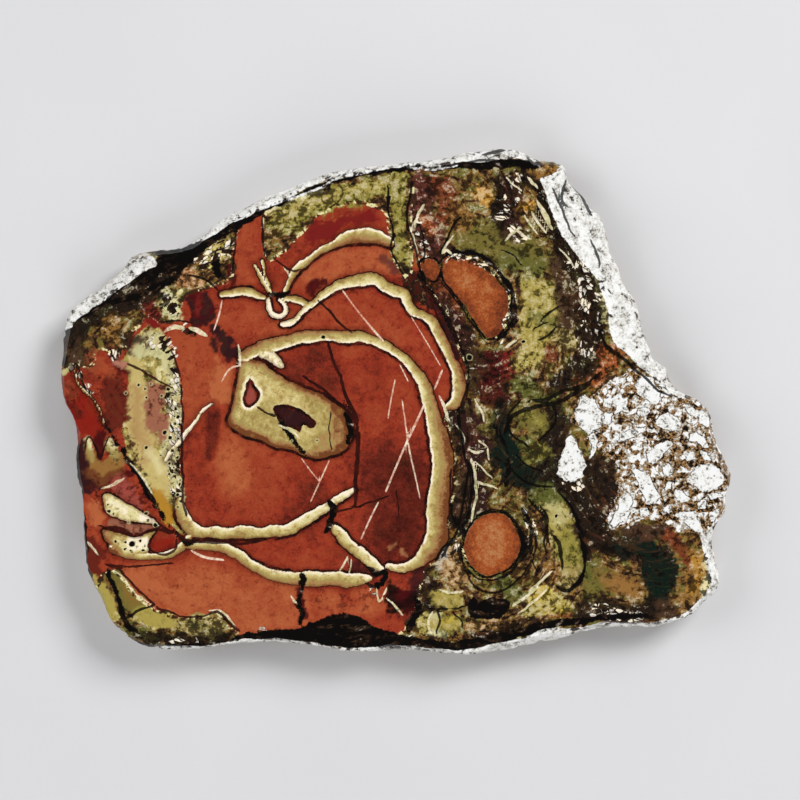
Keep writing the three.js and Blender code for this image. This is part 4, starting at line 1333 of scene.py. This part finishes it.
    # Pale flecks with dark edges
    jumble = w.new("VectorMath", operation="ADD")
    w.feed(jumble.inputs[0], place)
    w.feed(jumble.inputs[1], w.math("MULTIPLY", clouds, 0.7))
    jumble = jumble.outputs[0]
    speck = w.new("SeparateColor")
    strewn = w.along_sheets(jumble, 0.5)
    w.feed(speck.inputs[0], w.cells(strewn, 1.7, "F1", "Color"))
    speck_gap = w.cells(strewn, 1.7, "DISTANCE_TO_EDGE", "Distance")
    flecked = w.painted("fleck", clouds)
    flecks = w.math("MULTIPLY", w.spread(speck.outputs[0], 0.58, 0.62), w.spread(speck_gap, 0.06, 0.16))
    lair = w.mix(w.spread(speck.outputs[1], 0.35, 0.6), w.mix(crumbs, INK, UMBER), colour)
    fleck_tone = w.plus(crumbs, speck.outputs[2], 0.6)
    lair = w.mix(flecks, lair, w.ramp(fleck_tone, (0.3, DUST), (0.6, CHALK), (1, BONE)))
    colour = w.mix(flecked, colour, lair)

    # Cream bands: colour by age, a painted highlight on one edge, painted shade towards the other and a
    # dark rim; the stone darkens towards them
    cream_edge = w.plus(w.plus(w.field("cream"), wobble, 0.6), w.off(crumbs), 0.12)
    across = w.field("cream_across")
    near_band = w.math("MULTIPLY", w.spread(cream_edge, 1.2, 0.1), 0.5)
    colour = w.mix(near_band, colour, w.mix(0.85, colour, BLOOD, "MULTIPLY"))
    # Painted shade across the band: the age is lowered towards the bright edge and raised towards the far
    # one
    old = w.math("MULTIPLY", w.field("cream_age"), w.spread(across, 1.0, -0.9, 0.4, 1.55))
    old = w.plus(w.plus(old, w.off(mottle), 0.2), w.off(grain), 0.06)
    cream = w.ramp(old, (0, BONE), (0.16, CREAM), (0.36, WHEAT), (0.55, KHAKI), (0.74, TAN), (1, RUST))
    # Painted highlight: a BONE line along the band's bright edge
    bright = w.math("MULTIPLY", w.spread(cream_edge, -0.42, -0.24), w.spread(across, 0.3, 0.6))
    bright = w.math("MULTIPLY", bright, w.spread(clouds, 0.2, 0.7, 0.35, 1))
    cream = w.mix(bright, cream, BONE)
    # Painted shade: RUST along the band's far edge; the same mix darkens the cream patches near their edges
    far_edge_shade = w.math("MULTIPLY", w.spread(cream_edge, -0.45, -0.1), w.spread(across, -0.2, -0.6))
    cream = w.mix(w.math("MULTIPLY", far_edge_shade, 0.5), cream, RUST)
    cream = w.mix(w.math("MULTIPLY", w.spread(crumbs, 0.8, 0.95), 0.5), cream, TOFFEE)
    rim = w.math("SUBTRACT", cream_edge, w.field("cream_rim"))
    rim = w.math("MULTIPLY", w.within(rim, 0.1), w.spread(clouds, 0.1, 0.5, 0.6, 1))
    colour = w.mix(rim, colour, w.mix(crumbs, INK, SCAB))
    colour = w.mix(w.within(cream_edge, 0.06), colour, cream)

    # Lines, dots and pale fractures. The dark lines go on last, as they cross the rind too.
    ink = w.within(w.plus(w.plus(w.field("ink"), wobble, 1.4), w.off(clouds), 0.5), 0.1)
    soot = w.ramp(w.blend(sheeted, crumbs, 0.4), (0.6, INK), (0.85, UMBER), (1, ASH))
    colour = w.mix(ink, colour, soot)
    dark_hair = w.math("SUBTRACT", w.math("ABSOLUTE", w.field("dark_across")), w.field("dark_width"))
    dark_hair = w.within(w.plus(dark_hair, wobble, 0.6), 0.07)
    dots_edge = w.plus(w.field("dots"), wobble, 0.5)
    colour = w.mix(w.math("MULTIPLY", w.within(dots_edge, 0.12, 0.1), 0.5), colour, CREAM)
    colour = w.mix(w.within(dots_edge, 0.06, -0.03), colour, INK)
    hair = w.math("SUBTRACT", w.math("ABSOLUTE", w.field("pale_across")), w.field("pale_width"))
    hair = w.within(w.plus(hair, wobble, 0.3), 0.07)
    hair = w.math("MULTIPLY", hair, w.spread(ragged, 0.3, 0.55, 0.3, 0.9))
    hair_tone = w.mix(w.field("bent"), w.mix(crumbs, SALMON, BONE), w.mix(crumbs, CELERY, BONE))
    colour = w.mix(hair, colour, hair_tone)

    # Breccia: white chips in a brown, crumbly matrix
    breccia_mask = w.within(w.plus(w.plus(w.field("breccia"), wobble), w.off(clouds), 0.8), 0.1)
    chip_tone = w.new("SeparateColor")
    w.feed(chip_tone.inputs[0], w.cells(jumble, 1.2, "F1", "Color"))
    chip_gap = w.cells(jumble, 1.2, "DISTANCE_TO_EDGE", "Distance")
    matrix = w.plus(chip_tone.outputs[0], w.off(crumbs), 0.7)
    matrix = w.plus(w.plus(matrix, w.off(grain), 0.3), w.off(broad), 0.5)
    matrix = w.ramp(matrix, (0, INK), (0.2, UMBER), (0.36, TOFFEE), (0.48, DUST), (0.62, ASH),
                    (0.76, CHALK), (0.93, SNOW))
    gaps = w.math("MULTIPLY", w.spread(chip_gap, 0.13, 0.06), w.spread(crumbs, 0.75, 0.45))
    matrix = w.mix(gaps, matrix, w.mix(grain, INK, TAN))
    colour = w.mix(breccia_mask, colour, matrix)
    shard = w.plus(w.plus(w.field("shards"), wobble, 0.9), w.off(crumbs), 0.3)
    chip_rim = w.math("MULTIPLY", w.within(shard, 0.1, 0.16), w.spread(crumbs, 0.4, 0.6))
    colour = w.mix(chip_rim, colour, w.mix(grain, INK, UMBER))
    chip = w.ramp(w.plus(crumbs, w.off(grain), 0.5), (0, SLATE), (0.06, ASH), (0.2, CHALK), (0.6, SNOW))
    colour = w.mix(w.within(shard, 0.06), colour, chip)

    # Rind
    rind_mask = w.within(w.plus(w.field("rind"), wobble), 0.08)
    fray = w.spread(w.field("outline"), -1.6, -0.1)
    rind = w.plus(w.plus(w.blend(crumbs, clouds, 0.4), w.off(grain), 0.36), fray, -0.12)
    rind = w.ramp(rind, (0, SLATE), (0.12, ASH), (0.34, CHALK), (0.75, SNOW))
    specks = w.plus(w.blend(crumbs, sheeted, 0.5), w.spread(w.field("rind"), -0.8, 0), -0.14)
    specks = w.plus(specks, fray, -0.1)
    rind = w.mix(w.spread(specks, 0.15, 0.09), rind, w.mix(grain, INK, UMBER))
    colour = w.mix(rind_mask, colour, rind)
    crack = w.mix(moss_mask, w.mix(clouds, SCAB, INK), INK)
    colour = w.mix(w.math("MULTIPLY", dark_hair, 0.94), colour, crack)

    out = tree.nodes.new("NodeGroupOutput")
    w.feed(out.inputs["Color"], colour)
    w.feed(out.inputs["Rind"], rind_mask)
    w.feed(out.inputs["Breccia"], breccia_mask)
    return tree


def new_material(name):
    material = bpy.data.materials.new(name)
    material.use_nodes = True
    w = Weave(material.node_tree)
    shader = material.node_tree.nodes["Principled BSDF"]
    shader.inputs["IOR"].default_value = QUARTZ_IOR
    return material, w, shader


def place_pattern(w, pattern):
    group = w.new("Group")
    group.node_tree = pattern
    return group.outputs


def polished(pattern):
    """The front: glassy, except on the chalky rind."""
    material, w, shader = new_material("polished jasper")
    parts = place_pattern(w, pattern)
    place = w.millimetres()
    dull = w.math("ADD", w.math("MULTIPLY", parts["Rind"], 0.6), w.math("MULTIPLY", parts["Breccia"], 0.12))
    rough = w.math("ADD", dull, w.spread(w.noise(place, 0.4, 3), 0.3, 0.7, 0.1, 0.17))
    w.feed(shader.inputs["Base Color"], parts["Color"])
    w.feed(shader.inputs["Roughness"], rough)
    bump = w.new("Bump")
    bump.inputs["Distance"].default_value = 0.1 * MM
    w.feed(bump.inputs["Strength"], w.math("MULTIPLY", parts["Rind"], 0.8))
    w.feed(bump.inputs["Height"], w.noise(place, 2.5, 4, 0.7))
    w.feed(shader.inputs["Normal"], bump.outputs["Normal"])
    return material


def sawn(pattern):
    """The back: matt, paler, with the saw's curved marks."""
    material, w, shader = new_material("sawn jasper")
    parts = place_pattern(w, pattern)
    place = w.millimetres()
    centre = w.new("Mapping")
    w.feed(centre.inputs["Vector"], place)
    centre.inputs["Location"].default_value = (-SAW_CENTRE[0], -SAW_CENTRE[1], 0)
    length = w.new("VectorMath", operation="LENGTH")
    w.feed(length.inputs[0], centre.outputs[0])
    waves = w.math("SINE", w.math("MULTIPLY", length.outputs["Value"], SAW_TURNS))
    marks = w.math("ADD", w.math("MULTIPLY", waves, 0.5), w.noise(place, 3.0, 4, 0.7))
    pale = w.mix(0.22, parts["Color"], SAW_DUST)
    w.feed(shader.inputs["Base Color"], w.mix(w.spread(marks, -0.2, 1.2, 0.0, 0.2), pale, DUST))
    w.feed(shader.inputs["Roughness"], w.spread(marks, -0.3, 1.2, 0.5, 0.72))
    bump = w.new("Bump")
    bump.inputs["Distance"].default_value = 0.06 * MM
    bump.inputs["Strength"].default_value = 0.5
    w.feed(bump.inputs["Height"], marks)
    w.feed(shader.inputs["Normal"], bump.outputs["Normal"])
    return material


def worn_skin(pattern):
    """The sides: the stone's own skin, dusty and pitted, with the pattern showing near the lip."""
    material, w, shader = new_material("worn skin")
    parts = place_pattern(w, pattern)
    place = w.millimetres()
    lumps = w.noise(place, 0.5, 5, 0.65, 0.4)
    grit = w.noise(place, 2.4, 4, 0.7)
    crust = w.mix(w.spread(lumps, 0.35, 0.65), CRUST_BROWN, CRUST_PALE)
    crust = w.mix(w.spread(grit, 0.55, 0.7), crust, UMBER)
    cover = w.spread(w.plus(w.field("depth"), lumps, 2.0), 2.6, 4.2, 0, 0.82)
    w.feed(shader.inputs["Base Color"], w.mix(cover, parts["Color"], crust))
    w.feed(shader.inputs["Roughness"], w.spread(cover, 0, 0.6, 0.45, 0.85))
    bump = w.new("Bump")
    bump.inputs["Distance"].default_value = 0.25 * MM
    bump.inputs["Strength"].default_value = 0.7
    w.feed(bump.inputs["Height"], w.math("ADD", lumps, w.math("MULTIPLY", grit, 0.5)))
    w.feed(shader.inputs["Normal"], bump.outputs["Normal"])
    return material


# Stage

FLOOR_SIZE = 3.0
LENS = 100
SENSOR = 36
VIEW_WIDTH = PICTURE_PX / PX_PER_MM * MM
FLOOR_TONES = (196, 196, 198), (204, 204, 205)
STUDIO_LOW = (225, 226, 230)
STUDIO_HIGH = (70, 70, 72)
STUDIO_STRENGTH = 0.55

# Lights: name, place in metres, size in metres and watts
LIGHTS = [
    ("key", (0.55, 0.5, 0.6), 0.4, 9),
    ("fill left", (-0.7, 0.15, 0.45), 0.6, 4),
    ("fill front", (0.1, -0.75, 0.5), 0.6, 4),
]


def set_floor():
    bm = bmesh.new()
    bmesh.ops.create_grid(bm, x_segments=1, y_segments=1, size=FLOOR_SIZE / 2)
    mesh = bpy.data.meshes.new("floor")
    bm.to_mesh(mesh)
    bm.free()
    floor = bpy.data.objects.new("floor", mesh)
    bpy.context.scene.collection.objects.link(floor)
    material, w, shader = new_material("pale floor")
    tone = w.noise(w.millimetres(), 0.02, 3)
    w.feed(shader.inputs["Base Color"], w.mix(tone, *FLOOR_TONES))
    shader.inputs["Roughness"].default_value = 0.85
    mesh.materials.append(material)


def add_light(name, place, size, power):
    data = bpy.data.lights.new(name, "AREA")
    data.size = size
    data.energy = power
    light = bpy.data.objects.new(name, data)
    light.location = place
    light.rotation_euler = (-Vector(place)).to_track_quat("-Z", "Y").to_euler()
    bpy.context.scene.collection.objects.link(light)


def set_lights():
    """A key from the upper right, softer fills round it, and a dim even surround, darkest overhead."""
    for light in LIGHTS:
        add_light(*light)
    world = bpy.data.worlds.new("studio")
    world.use_nodes = True
    w = Weave(world.node_tree)
    up = w.new("SeparateXYZ")
    w.feed(up.inputs[0], w.new("TexCoord").outputs["Generated"])
    w.feed(world.node_tree.nodes["Background"].inputs["Color"],
           w.mix(w.spread(up.outputs["Z"], 0.25, 0.95), STUDIO_LOW, STUDIO_HIGH))
    world.node_tree.nodes["Background"].inputs["Strength"].default_value = STUDIO_STRENGTH
    bpy.context.scene.world = world
    bpy.context.scene.view_settings.view_transform = "Standard"


def set_camera():
    """Straight down on the polish, framed as the picture frames it."""
    data = bpy.data.cameras.new("camera")
    data.lens = LENS
    data.sensor_width = SENSOR
    camera = bpy.data.objects.new("camera", data)
    right = (PICTURE_PX / 2 - MIDDLE_PX[0]) / PX_PER_MM * MM
    up = (MIDDLE_PX[1] - PICTURE_PX / 2) / PX_PER_MM * MM
    camera.location = (right, up, POLISH + VIEW_WIDTH * LENS / SENSOR)
    bpy.context.scene.collection.objects.link(camera)
    bpy.context.scene.camera = camera


set_camera()
slab = build_slab()
pattern = jasper_pattern()
for finish in (polished, sawn, worn_skin):
    slab.data.materials.append(finish(pattern))
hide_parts(NODE)
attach(slab, "root")
set_floor()
set_lights()
